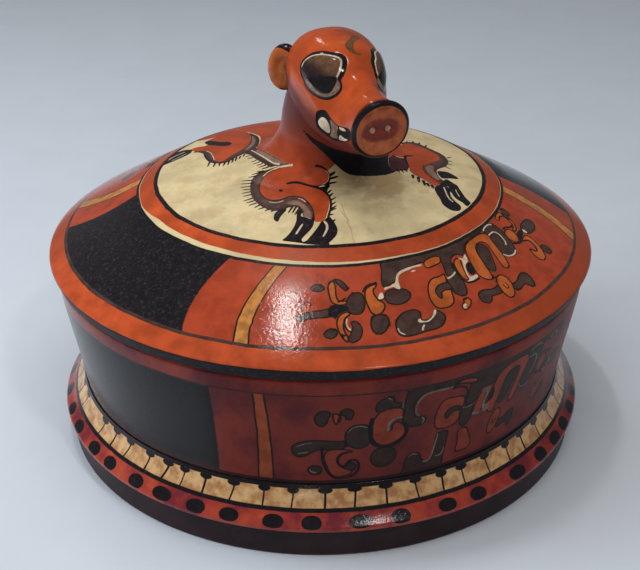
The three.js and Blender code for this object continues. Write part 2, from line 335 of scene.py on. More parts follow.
# The potter's wheel: turns an outline, given as a row of points with x for radius, round the Z axis.
def turning_tree():
    tree = bpy.data.node_groups.new("turned clay", "GeometryNodeTree")
    input_socket(tree, "Outline", "NodeSocketGeometry")
    keys = {
        "Facets": input_socket(tree, "Facets", "NodeSocketInt", 360),
        "Rows": input_socket(tree, "Rows", "NodeSocketInt", 100),
        "Slip": input_socket(tree, "Slip", "NodeSocketMaterial"),
    }
    tree.interface.new_socket(name="Clay", in_out="OUTPUT", socket_type="NodeSocketGeometry")
    source = tree.nodes.new("NodeGroupInput").outputs
    around = plus(tree, source["Facets"], 1.0)
    grid = add_node(tree, "GeometryNodeMeshGrid", {
        "Size X": 1.0, "Size Y": 1.0, "Vertices X": around, "Vertices Y": source["Rows"],
    })
    here = add_node(tree, "GeometryNodeInputPosition").outputs[0]
    place = parts_of(tree, here)
    last = less(tree, source["Rows"], 1.0)
    row = times(tree, plus(tree, place["Y"], 0.5), last)
    point = add_node(tree, "GeometryNodeSampleIndex", {
        "Geometry": source["Outline"], "Value": here, "Index": maths(tree, "ROUND", row),
    }, data_type="FLOAT_VECTOR", domain="POINT")
    outline = parts_of(tree, point.outputs[0])
    angle = times(tree, plus(tree, place["X"], 0.5), math.tau)
    turned = add_node(tree, "ShaderNodeCombineXYZ", {
        "X": times(tree, maths(tree, "SINE", angle), outline["X"]),
        "Y": times(tree, maths(tree, "COSINE", angle), outline["X"]),
        "Z": outline["Z"],
    })
    moved = add_node(tree, "GeometryNodeSetPosition", {
        "Geometry": grid.outputs["Mesh"], "Position": turned.outputs[0],
    })
    closed = add_node(tree, "GeometryNodeMergeByDistance", {"Geometry": moved.outputs[0], "Distance": 1e-6})
    real = add_node(tree, "GeometryNodeRealizeInstances", {"Geometry": closed.outputs[0]})
    slipped = add_node(tree, "GeometryNodeSetMaterial", {
        "Geometry": real.outputs[0], "Material": source["Slip"],
    })
    end = tree.nodes.new("NodeGroupOutput")
    tree.links.new(slipped.outputs[0], end.inputs[0])
    return tree, keys


# Runs a tree on a helper object once and gives back the plain mesh.
def grown_mesh(name, start, tree, keys, values):
    helper = bpy.data.objects.new(name + "_start", start)
    bpy.context.scene.collection.objects.link(helper)
    modifier = helper.modifiers.new("clay", "NODES")
    modifier.node_group = tree
    for key, value in values.items():
        modifier[keys[key]] = value
    bpy.context.view_layer.update()
    grown = helper.evaluated_get(bpy.context.evaluated_depsgraph_get())
    mesh = bpy.data.meshes.new_from_object(grown)
    mesh.name = name
    helper.modifiers.remove(modifier)
    bpy.data.objects.remove(helper)
    return mesh


TURNING, TURNING_KEYS = turning_tree()


def turned(name, outline, facets, material):
    points = [(radius, 0, height) for radius, height in outline]
    start = new_mesh(name + "_outline", points, [])
    values = {"Facets": facets, "Rows": len(points), "Slip": material}
    return finished_mesh(grown_mesh(name, start, TURNING, TURNING_KEYS, values))


# Outlines of the turned pieces. Rows lie close together where a pattern is painted.

def foot_outline():
    inner = FOOT_RADIUS - FOOT_WIDTH
    outer = FOOT_RADIUS
    return joined(
        line((inner, 0.6), (inner + 0.6, 0), 2),
        line((inner + 0.6, 0), (outer - 1.6, 0), 4),
        arc((outer - 1.6, 1.6), 1.6, -90, 0, 6),
        line((outer, 1.6), (outer - FOOT_TAPER, FOOT_HEIGHT), 12),
        line((outer - FOOT_TAPER, FOOT_HEIGHT), (inner, FOOT_HEIGHT), 4),
        line((inner, FOOT_HEIGHT), (inner, 0.6), 6),
    )


def wall_run(steps):
    top = RIM_HEIGHT - 3
    rise = top - FLANGE_TOP
    return bezier(
        (BOWL_FOOT, FLANGE_TOP), (BOWL_FOOT + 2.5, FLANGE_TOP + rise * 0.34),
        (BOWL_RIM - 0.5, FLANGE_TOP + rise * 0.8), (BOWL_RIM, top), steps,
    )


def bowl_outline():
    wall = wall_run(52)
    inside = wall[::4] - (BOWL_WALL, 0)
    floor = FOOT_HEIGHT + BOWL_FLOOR
    inside = inside[inside[:, 1] > floor + 17]
    inner = BOWL_FOOT - BOWL_WALL
    rim = arc((BOWL_RIM - 3, RIM_HEIGHT - 3), 3, 0, 90, 8)
    return joined(
        (0, FOOT_HEIGHT),
        line((40, FOOT_HEIGHT), (BOWL_FOOT, FOOT_HEIGHT), 4),
        line((BOWL_FOOT, FOOT_HEIGHT), (BOWL_FOOT, FLANGE_TOP), 4),
        wall, rim, (SEAT_RADIUS + 1, RIM_HEIGHT), (SEAT_RADIUS, RIM_HEIGHT - 1),
        inside[::-1],
        arc((inner - 16, floor + 16), 16, 0, -90, 12),
        line((inner - 16, floor), (20, floor), 8), (0, floor),
    )


def flange_outline():
    half = FLANGE_EDGE / 2
    inner = BOWL_FOOT + LUTING
    edge = arc((FLANGE_RADIUS - half, FOOT_HEIGHT + half), half, -80, 40, 14)
    slope = line(edge[-1], (inner, FLANGE_TOP), 34)
    share = np.linspace(0, 1, len(slope))
    slope -= (FLANGE_SAG * np.sin(math.pi * share))[:, None]
    return joined(
        line((inner, FOOT_HEIGHT), (FLANGE_RADIUS - half, FOOT_HEIGHT), 3), edge, slope[1:-1],
        (inner, FLANGE_TOP), line((inner, FLANGE_TOP), (inner, FOOT_HEIGHT), 3),
    )


def dome_run(skirt_steps, crown_steps):
    skirt = bezier(
        (LID_RADIUS, LIP_TOP), (LID_RADIUS - 10, LIP_TOP + 7.6),
        (CROWN_RADIUS + 21, CROWN_FOOT - 12.3), (CROWN_RADIUS, CROWN_FOOT), skirt_steps,
    )
    rise = CROWN_TOP - CROWN_FOOT
    crown = bezier(
        (CROWN_RADIUS, CROWN_FOOT), (CROWN_RADIUS * 0.8, CROWN_FOOT + rise * 0.45),
        (CROWN_RADIUS * 0.42, CROWN_FOOT + rise * 0.97), (0, CROWN_TOP), crown_steps,
    )
    return np.concatenate([skirt, crown[1:]])


DOME = dome_run(200, 200)[::-1]


def dome_height(radius):
    return np.interp(radius, DOME[:, 0], DOME[:, 1])


def lid_outline():
    outside = dome_run(48, 50)
    vent = outside[outside[:, 0] > VENT_RADIUS]
    inside = moved_in(dome_run(9, 9), LID_WALL)
    inside = inside[(inside[:, 0] < SEAT_RADIUS - 1) & (inside[:, 0] > VENT_RADIUS + 1)]
    crown = dome_height(VENT_RADIUS)
    return joined(
        line((SEAT_RADIUS, RIM_HEIGHT), (LID_RADIUS - LIP_UNDERCUT - 0.5, RIM_HEIGHT), 2),
        (LID_RADIUS - LIP_UNDERCUT, RIM_HEIGHT + 0.5),
        line((LID_RADIUS - LIP_UNDERCUT + 0.2, RIM_HEIGHT + 1), (LID_RADIUS - 0.1, LIP_TOP - 1.2), 7),
        (LID_RADIUS, LIP_TOP - 0.7), (LID_RADIUS - 0.12, LIP_TOP - 0.2), (LID_RADIUS - 0.5, LIP_TOP + 0.3),
        vent[1:], (VENT_RADIUS, crown), (VENT_RADIUS, crown - LID_WALL),
        inside[::-1], (SEAT_RADIUS, RIM_HEIGHT),
    )


# Patterns, traced. Lid and wall patterns give the angle in degrees from the animal's front,
# then the radius or the height in millimetres. Patterns on the crown give x and y.

LID_UMBER = [
    [(-24.6, 118.7), (-23.7, 116.9), (-22.4, 116.3), (-21.3, 117.4), (-21, 118.7), (-21.8, 120),
     (-23.5, 120.2)],
    [(-18.8, 113.8), (-16.9, 114.5), (-15.5, 117.8), (-15.1, 119.5), (-16, 120.3), (-16.9, 118.3),
     (-18, 115.9)],
    [(-27.4, 134.6), (-26, 132.3), (-24, 131), (-22, 130.3), (-20.3, 129.6), (-18, 129), (-16.3, 130),
     (-17.4, 131.5), (-20.6, 133.9), (-23, 134.3), (-25, 135.2), (-26.3, 136)],
    [(-16.3, 127.5), (-15.6, 124.3), (-14.6, 122.2), (-13.2, 121.6), (-12.2, 122.6), (-11.9, 125),
     (-12, 128.5), (-12.6, 131.5), (-13.6, 133), (-15, 132.8), (-16, 131)],
    [(-21.4, 142.6), (-20.7, 140.5), (-19.5, 139.6), (-18.8, 140.8), (-18.7, 142.5), (-19.3, 144.3),
     (-20.3, 144.9), (-21.1, 144)],
    [(-11.6, 140.5), (-11.4, 137), (-10.9, 134.7), (-9.6, 134.4), (-8.1, 134.6), (-7.6, 137), (-7.9, 140),
     (-8.9, 142.8), (-10.2, 144.4), (-11.2, 143.3)],
    [(-4.4, 106.5), (-5.5, 111.3), (-6.3, 115.5), (-6.6, 119), (-6.2, 120.3), (-5.2, 119.8), (-3.9, 118.8),
     (-2.9, 117.6), (-2.2, 115.6), (-1.2, 113.9), (0.2, 112.9), (2, 112.1), (4, 111.6), (6.3, 111.2),
     (7.5, 112.5), (9.5, 112.5), (11.8, 112.8), (11.7, 115.2), (11.2, 118.3), (10.8, 121.5), (12.3, 122),
     (13.8, 121.3), (13.8, 118.8), (14.1, 116.3), (15.1, 114), (16.4, 112.9), (17.8, 112.9), (19, 114.3),
     (20.1, 114.2), (20.9, 112.6), (22, 110.6), (23.6, 109.2), (27, 108.4), (31.5, 108.2), (31.5, 106),
     (20, 105.5), (5, 105.5)],
    [(-7, 126), (-6.5, 123.4), (-5.2, 122.2), (-4, 122), (-3.2, 122.9), (-2, 122.7), (-0.9, 124.2),
     (-0.6, 126), (-1.3, 128.3), (-2.8, 130), (-4.5, 130.4), (-6, 129.6), (-6.8, 128)],
    [(-6.6, 142), (-6.2, 139), (-5.2, 136.5), (-3.8, 134.9), (-2, 134.4), (-0.7, 135), (-0.3, 136.9),
     (-0.7, 138.8), (-0.6, 140.6), (0.8, 140.8), (2.2, 139), (3.3, 137.2), (4.3, 139), (4.6, 141),
     (4.1, 143.2), (2.9, 145.3), (1.2, 146.2), (-1, 146.3), (-3, 147), (-5, 147.1), (-6.3, 145.8)],
    [(9.7, 126), (10.2, 123.6), (11, 122.9), (12.2, 122.8), (13.4, 121.9), (13.8, 124), (13.8, 127),
     (13.5, 130), (12.8, 133), (11.7, 134.2), (10.7, 133.4), (9.8, 131), (9.5, 128.5)],
    [(14.7, 138), (15.2, 135.6), (16.5, 134.7), (18, 135.3), (19.5, 136.4), (21, 135.7), (21.8, 136),
     (21.4, 139.6), (19.3, 139.7), (18, 139.2), (17.3, 140.8), (16.3, 142), (15.3, 141.3), (14.7, 139.8)],
    [(24.8, 138.6), (26.5, 138.8), (28, 137.5), (29.5, 136.5), (30.7, 136.7), (31.3, 138.5), (31.2, 141.5),
     (30.6, 144.3), (29.8, 145.5), (29, 144.5), (28.7, 142.3), (27.5, 141.8), (26, 142.8), (24.7, 142.3)],
    [(32.4, 107.5), (35, 106.9), (38.3, 108.6), (39, 112), (38.9, 116), (38.2, 119.5), (37.2, 122.5),
     (36.3, 125), (35.3, 127), (33.7, 127.6), (32, 126.8), (30.9, 124.8), (30.8, 122), (31.3, 118),
     (32, 114.5), (32.6, 111.5)],
    [(47.3, 112), (47.8, 108.7), (48.9, 107.6), (50, 108.4), (50.1, 110.5), (49.4, 112.8), (48.3, 113.2)],
    [(45.1, 123.5), (45.8, 121.5), (47.5, 120.4), (50, 120.6), (52, 121.5), (53.3, 123.3), (53.2, 125.3),
     (51.8, 127), (49.5, 127.6), (47.3, 126.7), (45.8, 125.5)],
    [(43.1, 138), (43.4, 135.5), (44.3, 134), (45.4, 134.6), (46, 136.5), (45.7, 139), (44.8, 140.3),
     (43.7, 139.8)],
]
LID_ORANGE = [
    [(-19.6, 114.5), (-20.2, 118), (-20, 122), (-19.4, 126), (-18, 127.6), (-16.3, 127.4), (-16.2, 125.7),
     (-17.6, 125.6), (-18.2, 124), (-18.4, 120), (-18.3, 117), (-18.9, 115)],
    [(-16.4, 131.6), (-17.9, 133.2), (-18.6, 136.5), (-18.5, 140), (-18, 143.5), (-17.2, 146.5),
     (-16.5, 147), (-16.7, 144), (-17.2, 141.5), (-17.3, 138), (-16.9, 135), (-15.9, 133.2),
     (-15.7, 132.2)],
    [(-11.5, 127), (-11.5, 123), (-10.9, 120.3), (-9.6, 118.7), (-8.1, 118.1), (-8.4, 119.5), (-9.3, 121.2),
     (-9.2, 124), (-8.6, 126.7), (-7.6, 128.7), (-7.8, 131.5), (-8.8, 133.6), (-10.2, 134.3), (-11, 132.5)],
    [(10.4, 119.7), (9.4, 120.6), (7.8, 120.7), (6.3, 121), (5.1, 122.6), (4.2, 125.2), (3.6, 128.2),
     (3.3, 131.3), (3.5, 134.5), (4.3, 136.6), (5.8, 137.2), (7.3, 136.8), (8.5, 135), (9, 132),
     (9.4, 129.6), (9.8, 127), (9.7, 124.5), (10.1, 122)],
    [(6.6, 114), (6.9, 111.6), (8, 110.4), (9.8, 109.9), (11.4, 110), (12.3, 111.2), (12, 113),
     (10.9, 114.2), (9, 114.6), (7.6, 115)],
    [(10.9, 135.5), (12.2, 135.6), (12.4, 137.2), (11.9, 138.9), (10.9, 140.4), (9.8, 140.9), (9.4, 139.6),
     (9.8, 138), (10.6, 137.2)],
    [(14.3, 124.5), (14.4, 121), (14.8, 117.5), (15.6, 115.5), (16.7, 114.9), (17.6, 115.5), (17, 118),
     (16.3, 121.5), (15.8, 125), (15.5, 127.4), (14.7, 126.6)],
    [(19.2, 128.5), (18.9, 126), (19.3, 122.5), (20, 118), (21, 113.5), (22.3, 111), (24, 109.6),
     (26.5, 109), (29, 108.9), (31.2, 109.2), (32.3, 110.5), (32.6, 112.8), (32, 115.5), (31.3, 119),
     (30.8, 123), (30, 127), (29.2, 129.8), (28.4, 131), (27.2, 130), (27.6, 126), (28.3, 122), (29, 118),
     (29.3, 115), (28.8, 113.2), (27.4, 112.5), (25.8, 113), (24.6, 114.6), (23.8, 117.5), (23.2, 122),
     (22.6, 126.5), (21.9, 131.2), (20.4, 131.4)],
    [(21.2, 141.5), (21.3, 137.5), (21.9, 134), (22.9, 132), (24.2, 131.6), (25.1, 133.3), (25.3, 136.3),
     (24.9, 139.5), (24, 142.3), (22.8, 144.2), (21.8, 143.9)],
    [(38, 119.5), (38.6, 117), (39.7, 115.9), (41.2, 116.2), (42.1, 117.5), (42, 119.8), (41.4, 122),
     (40.2, 124), (39.2, 124.2), (38.3, 122.5)],
    [(42, 108.6), (43.3, 107.6), (45, 107.3), (46.5, 108.2), (47.2, 110.5), (47.1, 113.5), (46.3, 116.5),
     (45.2, 118.7), (43.6, 119.8), (42.3, 119.3), (43.4, 118), (44.8, 117.2), (45.6, 115), (46, 112.5),
     (45.8, 110.3), (44.6, 109.3), (43.3, 109.9), (42.4, 110.4)],
    [(41.2, 125.3), (43, 124.7), (44.4, 125.2), (44.9, 127.5), (44.6, 130.5), (43.8, 134), (42.6, 137.2),
     (41.2, 139.2), (39.9, 139.3), (39, 137.5), (39.1, 134.5), (39.6, 131.8), (40.3, 130.9), (40.7, 132.8),
     (41.3, 134), (42.2, 133), (43, 130.5), (43.2, 128), (42.5, 126.6)],
]
LID_CURLS = [
    [(-15.7, 137.3), (-14.9, 136.4), (-14, 137.8), (-13.6, 141), (-14, 144.5), (-15.2, 147), (-16.4, 147.3),
     (-16.6, 145), (-16.1, 143.3), (-15.8, 141.7), (-15.4, 139.5)],
    [(9.9, 125.2), (8.7, 124.7), (7.3, 124.9), (6.2, 126), (5.5, 128), (5.5, 130.5), (5.9, 132.1),
     (6.4, 131.8), (6.6, 130.2), (7, 128.9), (7.9, 128.4), (9, 128.7), (9.9, 129.5)],
    [(24, 129), (23, 127.6), (22.9, 124.5), (23.5, 120), (24.4, 116), (25.8, 113.7), (27.4, 113.3),
     (28.4, 114.8), (28.3, 117.5), (27.4, 120.5), (26.3, 124), (25.2, 127.3)],
]
LID_BONE = [
    (0.7, [(-16.4, 135.2), (-16.65, 137.2), (-16.45, 139.5), (-15.95, 141)]),
    [(-8.5, 125.2), (-7.9, 123.4), (-7.3, 122.9), (-7.2, 125.5), (-7.7, 126.4), (-8.5, 126.2)],
    [(-6.5, 121.8), (-6.2, 120.5), (-5, 120.3), (-4, 119.4), (-3.3, 118.9), (-2.8, 117.2), (-2, 114.8),
     (-0.8, 113.2), (1.2, 112.3), (3.5, 111.9), (5.5, 112), (6, 112.4), (5.4, 112.9), (3.6, 112.8),
     (1.6, 113.4), (0, 114.1), (-1.2, 115), (-2, 116.8), (-2.3, 119), (-2.4, 121.5), (-2.7, 122.6),
     (-3.5, 122), (-4, 120.9), (-5, 121.1), (-5.9, 121.5)],
    (0.9, [(2.4, 114.6), (3.3, 114.5)]),
    [(-1.6, 140.4), (-1, 139.4), (-0.8, 140.6), (0, 141.3), (1.2, 140.6), (2.2, 138.8), (3, 136.6),
     (3.3, 137.5), (2.6, 139.4), (1.5, 141), (0.4, 141.9), (-0.6, 141.7), (-1.3, 141.6)],
    (0.9, [(-0.7, 143.2), (-1.1, 144.2), (-1.4, 145.3)]),
    (0.6, [(-6.3, 142.6), (-6.1, 144.6), (-5.3, 146)]),
    (1.0, [(10.6, 123.1), (11.6, 122.7), (12.6, 122.1), (13.5, 121.2)]),
    [(9.6, 139.8), (9.9, 138.4), (10.6, 138), (10.8, 138.8), (10.2, 139.4), (10.4, 140.2), (9.9, 140.4)],
    [(17.3, 114.5), (18.3, 116), (19.2, 115.3), (20, 114.2), (19.8, 116.5), (19.2, 118.3), (18.1, 119.2),
     (17.2, 121), (16.6, 123.5), (16.7, 126.2), (18.3, 126.2), (18.6, 127.2), (17.6, 128.2), (16, 128.3),
     (14.9, 127.7), (15.8, 127.2), (16, 124.5), (16.6, 121.2), (17.3, 118.5), (17.7, 117)],
    (0.9, [(33, 112.2), (34.6, 112.1), (35.6, 112.3), (36.3, 113.4), (36.5, 115.2), (36.2, 117.6),
           (35.6, 119.9), (34.8, 121)]),
    (0.9, [(30.9, 124.2), (31.6, 125.9), (32.8, 126.9), (34.2, 127.1), (35.6, 126.2)]),
    (0.8, [(32.8, 108.8), (34, 108.1), (35.5, 107.8), (37, 108), (37.9, 108.9)]),
    [(45.3, 123.6), (45.7, 122), (46.3, 122.4), (46.3, 124.6), (45.8, 125.1)],
]
LID_SOOT = [
    [(-20.3, 129.4), (-19.3, 127.5), (-18, 127.7), (-16.2, 128.4), (-15.7, 130.3), (-16.8, 131.3),
     (-18, 132.6), (-18.8, 135.2), (-19.3, 134.2), (-20.2, 133.6)],
    (0.7, [(-25.8, 129.3), (-26.1, 127.6), (-25.4, 126), (-24.5, 126.6), (-24.2, 127.9)]),
    (0.9, [(-15.9, 133.4), (-16.7, 134.6), (-17, 137), (-16.9, 139.5), (-16.3, 141.5), (-15.8, 141.8)]),
    (1.0, [(-18, 126), (-17.2, 125.5), (-16.2, 124.2)]),
    (0.9, [(-8.8, 126.7), (-8, 126.9), (-7.2, 126.2)]),
    (1.1, [(-11.8, 121.4), (-11.1, 119.4), (-9.8, 118), (-8, 117.4)]),
    [(17.2, 121.5), (18, 119.6), (19.3, 119), (19.4, 121), (18.9, 124), (18.4, 125.8), (17.4, 125.6),
     (16.9, 124)],
    (1.3, [(14.6, 116), (14.1, 119), (13.9, 122.5), (14, 126), (14.8, 128.4), (16.5, 129), (18.4, 128.5)]),
    (0.7, [(22.8, 136.5), (22.8, 138.6), (23.2, 139.3), (23.7, 138.5), (23.9, 136.2)]),
    (0.8, [(33.2, 112.9), (34.6, 112.9), (35.5, 114), (35.6, 116.5), (35, 119)]),
    [(37.3, 122.2), (38.5, 123.3), (39.8, 124.6), (40.9, 123.6), (41.9, 121.3), (43.3, 120.9),
     (45.6, 121.2), (45.9, 122), (45, 123.4), (43.2, 124), (41.6, 124.9), (40, 125.9), (38.6, 125),
     (37.3, 123.7)],
    (1.4, [(40, 114.8), (41.2, 114.7), (42.3, 115.8), (43.3, 116.8), (44.6, 116.8)]),
    (0.9, [(43.3, 110.1), (44.5, 109.5), (45.3, 110.3)]),
    (0.9, [(41, 125.8), (42.4, 126.9), (43, 128.7), (42.7, 131), (42, 133), (41.3, 133.9), (40.6, 132.8),
           (40.2, 131.2), (39.5, 131.4)]),
]

WALL_UMBER = [
    [(-23.3, 86), (-22.8, 89.5), (-21.7, 91.3), (-20.6, 91), (-20.3, 89), (-20.7, 86), (-21, 83),
     (-21.8, 80.9), (-22.8, 81.8)],
    [(-18.3, 91), (-17, 92.5), (-16, 90.5), (-16, 87.5), (-16.6, 84.7), (-17.3, 85.5), (-17.5, 87.7),
     (-18.3, 88.3)],
    [(-17.4, 73), (-17, 77.5), (-15.9, 80.4), (-14.4, 81), (-12.9, 79.5), (-12.2, 76), (-12.2, 71),
     (-12.8, 66.7), (-13.9, 64.5), (-15.4, 64.7), (-16.8, 67.5)],
    [(-27.9, 63.5), (-27.7, 66.5), (-26.5, 69.3), (-24.5, 70.8), (-22, 71), (-19.5, 70.3), (-17.5, 70),
     (-17.3, 67.5), (-17.6, 65), (-19, 64.2), (-21, 64.4), (-22.5, 64.5), (-24, 62.5), (-25.3, 60),
     (-26.5, 59.2), (-27.5, 60.5)],
    [(-24.8, 50), (-24.3, 52.5), (-23.2, 53.2), (-22.2, 52.3), (-22, 50), (-22.4, 47.5), (-23.4, 46.6),
     (-24.4, 47.8)],
    [(-11.7, 91.5), (-11.2, 95), (-10, 97), (-8.8, 98), (-8.2, 96), (-8, 93.5), (-6.8, 93), (-6.4, 91.5),
     (-7.2, 90), (-9, 90), (-10.5, 88.5), (-11.5, 88.8)],
    [(-12.1, 56), (-11.6, 60.5), (-10.3, 63.3), (-8.5, 63.2), (-7.2, 60.5), (-6.8, 57), (-7.2, 53),
     (-8.3, 50.3), (-9.8, 49.5), (-11.3, 51.3)],
    [(-4.8, 102), (-5.5, 99.5), (-5.9, 95), (-6, 90), (-6, 85), (-6.2, 80.5), (-5.4, 77.5), (-4.5, 75),
     (-3, 74.6), (-1.9, 75), (-1.3, 77.5), (-1.6, 80.3), (-2.8, 81), (-3.6, 82), (-4, 85), (-4, 88.5),
     (-3.7, 92), (-3, 94.8), (-2, 95.8), (1, 95.8), (4, 95.8), (6.5, 97), (8, 94.5), (7.8, 88), (7.6, 81.5),
     (9.7, 81), (10.4, 85.5), (11.5, 88.5), (13.6, 89), (15.5, 88.2), (17.5, 88.6), (20, 91), (23, 94),
     (28, 97), (34, 98.5), (34, 102), (15, 102.5)],
    [(-5, 39), (-4.9, 46), (-4.7, 51), (-3.9, 54.8), (-2.8, 55.4), (-1.7, 54), (-1.2, 51), (-0.5, 48.2),
     (0.6, 47.6), (1.3, 49.5), (1.5, 54), (1.7, 60), (1.9, 65.5), (4.3, 65.5), (4.3, 58), (4.2, 52),
     (4, 47.5), (4, 42.5), (3.5, 39)],
    [(6.7, 72), (6.9, 76), (7.1, 79), (8.2, 80), (9.5, 79), (9.6, 75), (9.5, 71), (9.2, 67.5), (8.2, 65.4),
     (7.1, 67.3)],
]
WALL_ORANGE = [
    [(-19.8, 89.5), (-18.8, 89), (-18.3, 87.7), (-18.8, 86), (-18.9, 83.5), (-19.2, 82), (-19.6, 84),
     (-19.8, 87)],
    [(-21.4, 61), (-20.6, 64), (-18.9, 64.5), (-17, 63.9), (-15.8, 62.6), (-16.8, 62.2), (-17.9, 61.6),
     (-18.7, 59), (-18.8, 55.5), (-18.2, 52.5), (-17.2, 50.6), (-16, 49.2), (-16, 47), (-17.5, 45.4),
     (-19.2, 45), (-20.3, 48), (-21, 53), (-21.5, 57.5)],
    [(-12.1, 76), (-12, 82), (-11.2, 87), (-9.8, 89.3), (-8, 89.8), (-6.4, 88.5), (-6.2, 84), (-6.4, 82),
     (-7.8, 81.8), (-8.9, 78.5), (-8.8, 74.8), (-8.2, 75.3), (-8.1, 78.3), (-7.3, 79.8), (-6.3, 78.6),
     (-5.6, 75.5), (-5.4, 71.5), (-6.3, 67.8), (-8, 65.3), (-9.8, 64.8), (-11.2, 67), (-12, 71.5)],
    [(0.8, 75), (1, 81), (1.7, 86.5), (2.9, 88.8), (4.8, 88.4), (6.6, 87.5), (7.2, 84.5), (7, 80.5),
     (6.4, 78), (6.6, 74), (6, 70), (4.6, 68.2), (2.8, 68.1), (1.4, 70)],
    [(4.2, 98), (5.5, 98.9), (7.5, 98.5), (9.2, 97), (9.8, 95.3), (8.7, 94.4), (7, 95.7), (5.2, 96.8)],
    [(10, 72.5), (10, 77), (10.4, 82), (11.2, 85.5), (12.3, 86.5), (12.5, 83), (12.2, 78), (12, 73),
     (11, 71.5)],
    [(6.9, 62), (7.3, 54), (7, 49), (8, 47.5), (9.6, 47.3), (10.8, 49.5), (10.6, 54), (9.8, 59), (9, 63.5),
     (7.8, 64.3)],
]
WALL_CURLS = [
    [(-17.2, 51.2), (-16.6, 53.8), (-15.9, 55), (-15.1, 53), (-15.1, 50.3), (-15.9, 49), (-16.8, 50.2)],
    [(6.8, 79.3), (6, 81.2), (4.9, 82), (3.6, 80.8), (3, 78.5), (3.1, 76), (3.8, 75), (4.2, 77), (5, 78.6),
     (6, 78.5)],
]
WALL_BONE = [
    (0.6, [(-26.8, 66.5), (-25.5, 68.3), (-24, 69.3)]),
    (0.7, [(-26.6, 61.7), (-25.5, 62.2), (-24.8, 63)]),
    (0.6, [(-16.9, 76), (-16, 79), (-14.5, 80), (-13.2, 78.5)]),
    (0.6, [(-24.4, 50.3), (-24.1, 48.8), (-23.2, 48.2)]),
    (1.5, [(-8.9, 75.2), (-8.9, 78.5), (-8.3, 81.3), (-7.4, 82.7), (-6.5, 82.6)]),
    (0.8, [(-6.4, 92.5), (-6.3, 89)]),
    (0.7, [(-9.4, 97), (-8.6, 95.4)]),
    (1.2, [(-2.9, 81.7), (-3.5, 84), (-3.6, 88), (-3.2, 91.5), (-2.5, 94), (-1.5, 95.5), (0, 95.9),
           (2, 95.9), (3.7, 95.9)]),
    (0.8, [(-1.9, 76), (-1.6, 78), (-2, 79.8)]),
    (0.9, [(-0.5, 47.7), (0.3, 47.4), (0.9, 48.4), (1.3, 51), (1.6, 56), (1.9, 61), (2, 65)]),
    (0.9, [(2.4, 49.3), (3.2, 49.3), (3.8, 51), (4, 54)]),
    (0.5, [(-4, 53.3), (-3.1, 54.7), (-2.2, 54)]),
    (0.9, [(7.1, 79), (8.2, 78.5), (9.3, 79)]),
    [(11.4, 87.3), (12.6, 87.6), (13.6, 87), (13.2, 83), (12.7, 79), (12.7, 75.5), (13.9, 75), (14.2, 71.5),
     (12.8, 70.8), (12.2, 74), (12.2, 79), (12.6, 84), (11.6, 84.8)],
    [(9.8, 73), (10.2, 70.8), (11.8, 70.3), (12, 72), (10.7, 72.6)],
]
WALL_SOOT = [
    (1.6, [(-16.8, 62), (-17.9, 61.2), (-18.7, 58.5), (-18.7, 55), (-18.1, 52.6), (-17.4, 52.3),
           (-16.9, 54), (-16.4, 55.9), (-15.3, 56.3), (-14.5, 53.5), (-14.5, 50), (-15, 47), (-16.2, 44.8),
           (-18, 43.9), (-19.4, 44.5), (-20.5, 47.5), (-21.3, 52), (-21.8, 57), (-21.9, 62),
           (-21.9, 65.5)]),
    (2.2, [(-12.3, 84), (-12.6, 77), (-12.3, 70), (-11.4, 66), (-9.5, 63.7), (-7.5, 64.2), (-5.9, 67.2),
           (-5.1, 71.5), (-5.2, 75.5), (-5.9, 78.5)]),
    (1.2, [(3.8, 94.8), (6, 94.3), (7.2, 92), (7.5, 88), (7.4, 84), (7.6, 80.5)]),
    [(13.4, 82), (13.3, 77.5), (14, 76.5), (14.8, 79), (14.8, 84), (14, 86)],
    (1.0, [(-18.8, 88.6), (-18.3, 87), (-18.6, 83.5)]),
]

# The rest of the wall's band repeats the lid's, drawn narrower and taller. It starts and ends at two
# angles on the lid, and hangs from the band's top line.
LID_SPLIT = 20.5
LID_SPAN = (18.5, 54)
LID_BAND_TOP = 106.5
WALL_SPLIT = 14.6
WALL_NARROW = 0.785
WALL_TALL = 1.32
WALL_TOP_LINE = 101.0


def on_wall(shapes):
    carried = []
    for shape in shapes:
        wide, points = shape if isinstance(shape, tuple) else (None, shape)
        if min(p[0] for p in points) < LID_SPAN[0] or max(p[0] for p in points) > LID_SPAN[1]:
            continue
        moved = [(WALL_SPLIT + (angle - LID_SPLIT) * WALL_NARROW,
                  WALL_TOP_LINE - (radius - LID_BAND_TOP) * WALL_TALL) for angle, radius in points]
        carried.append((wide, moved) if wide else moved)
    return carried


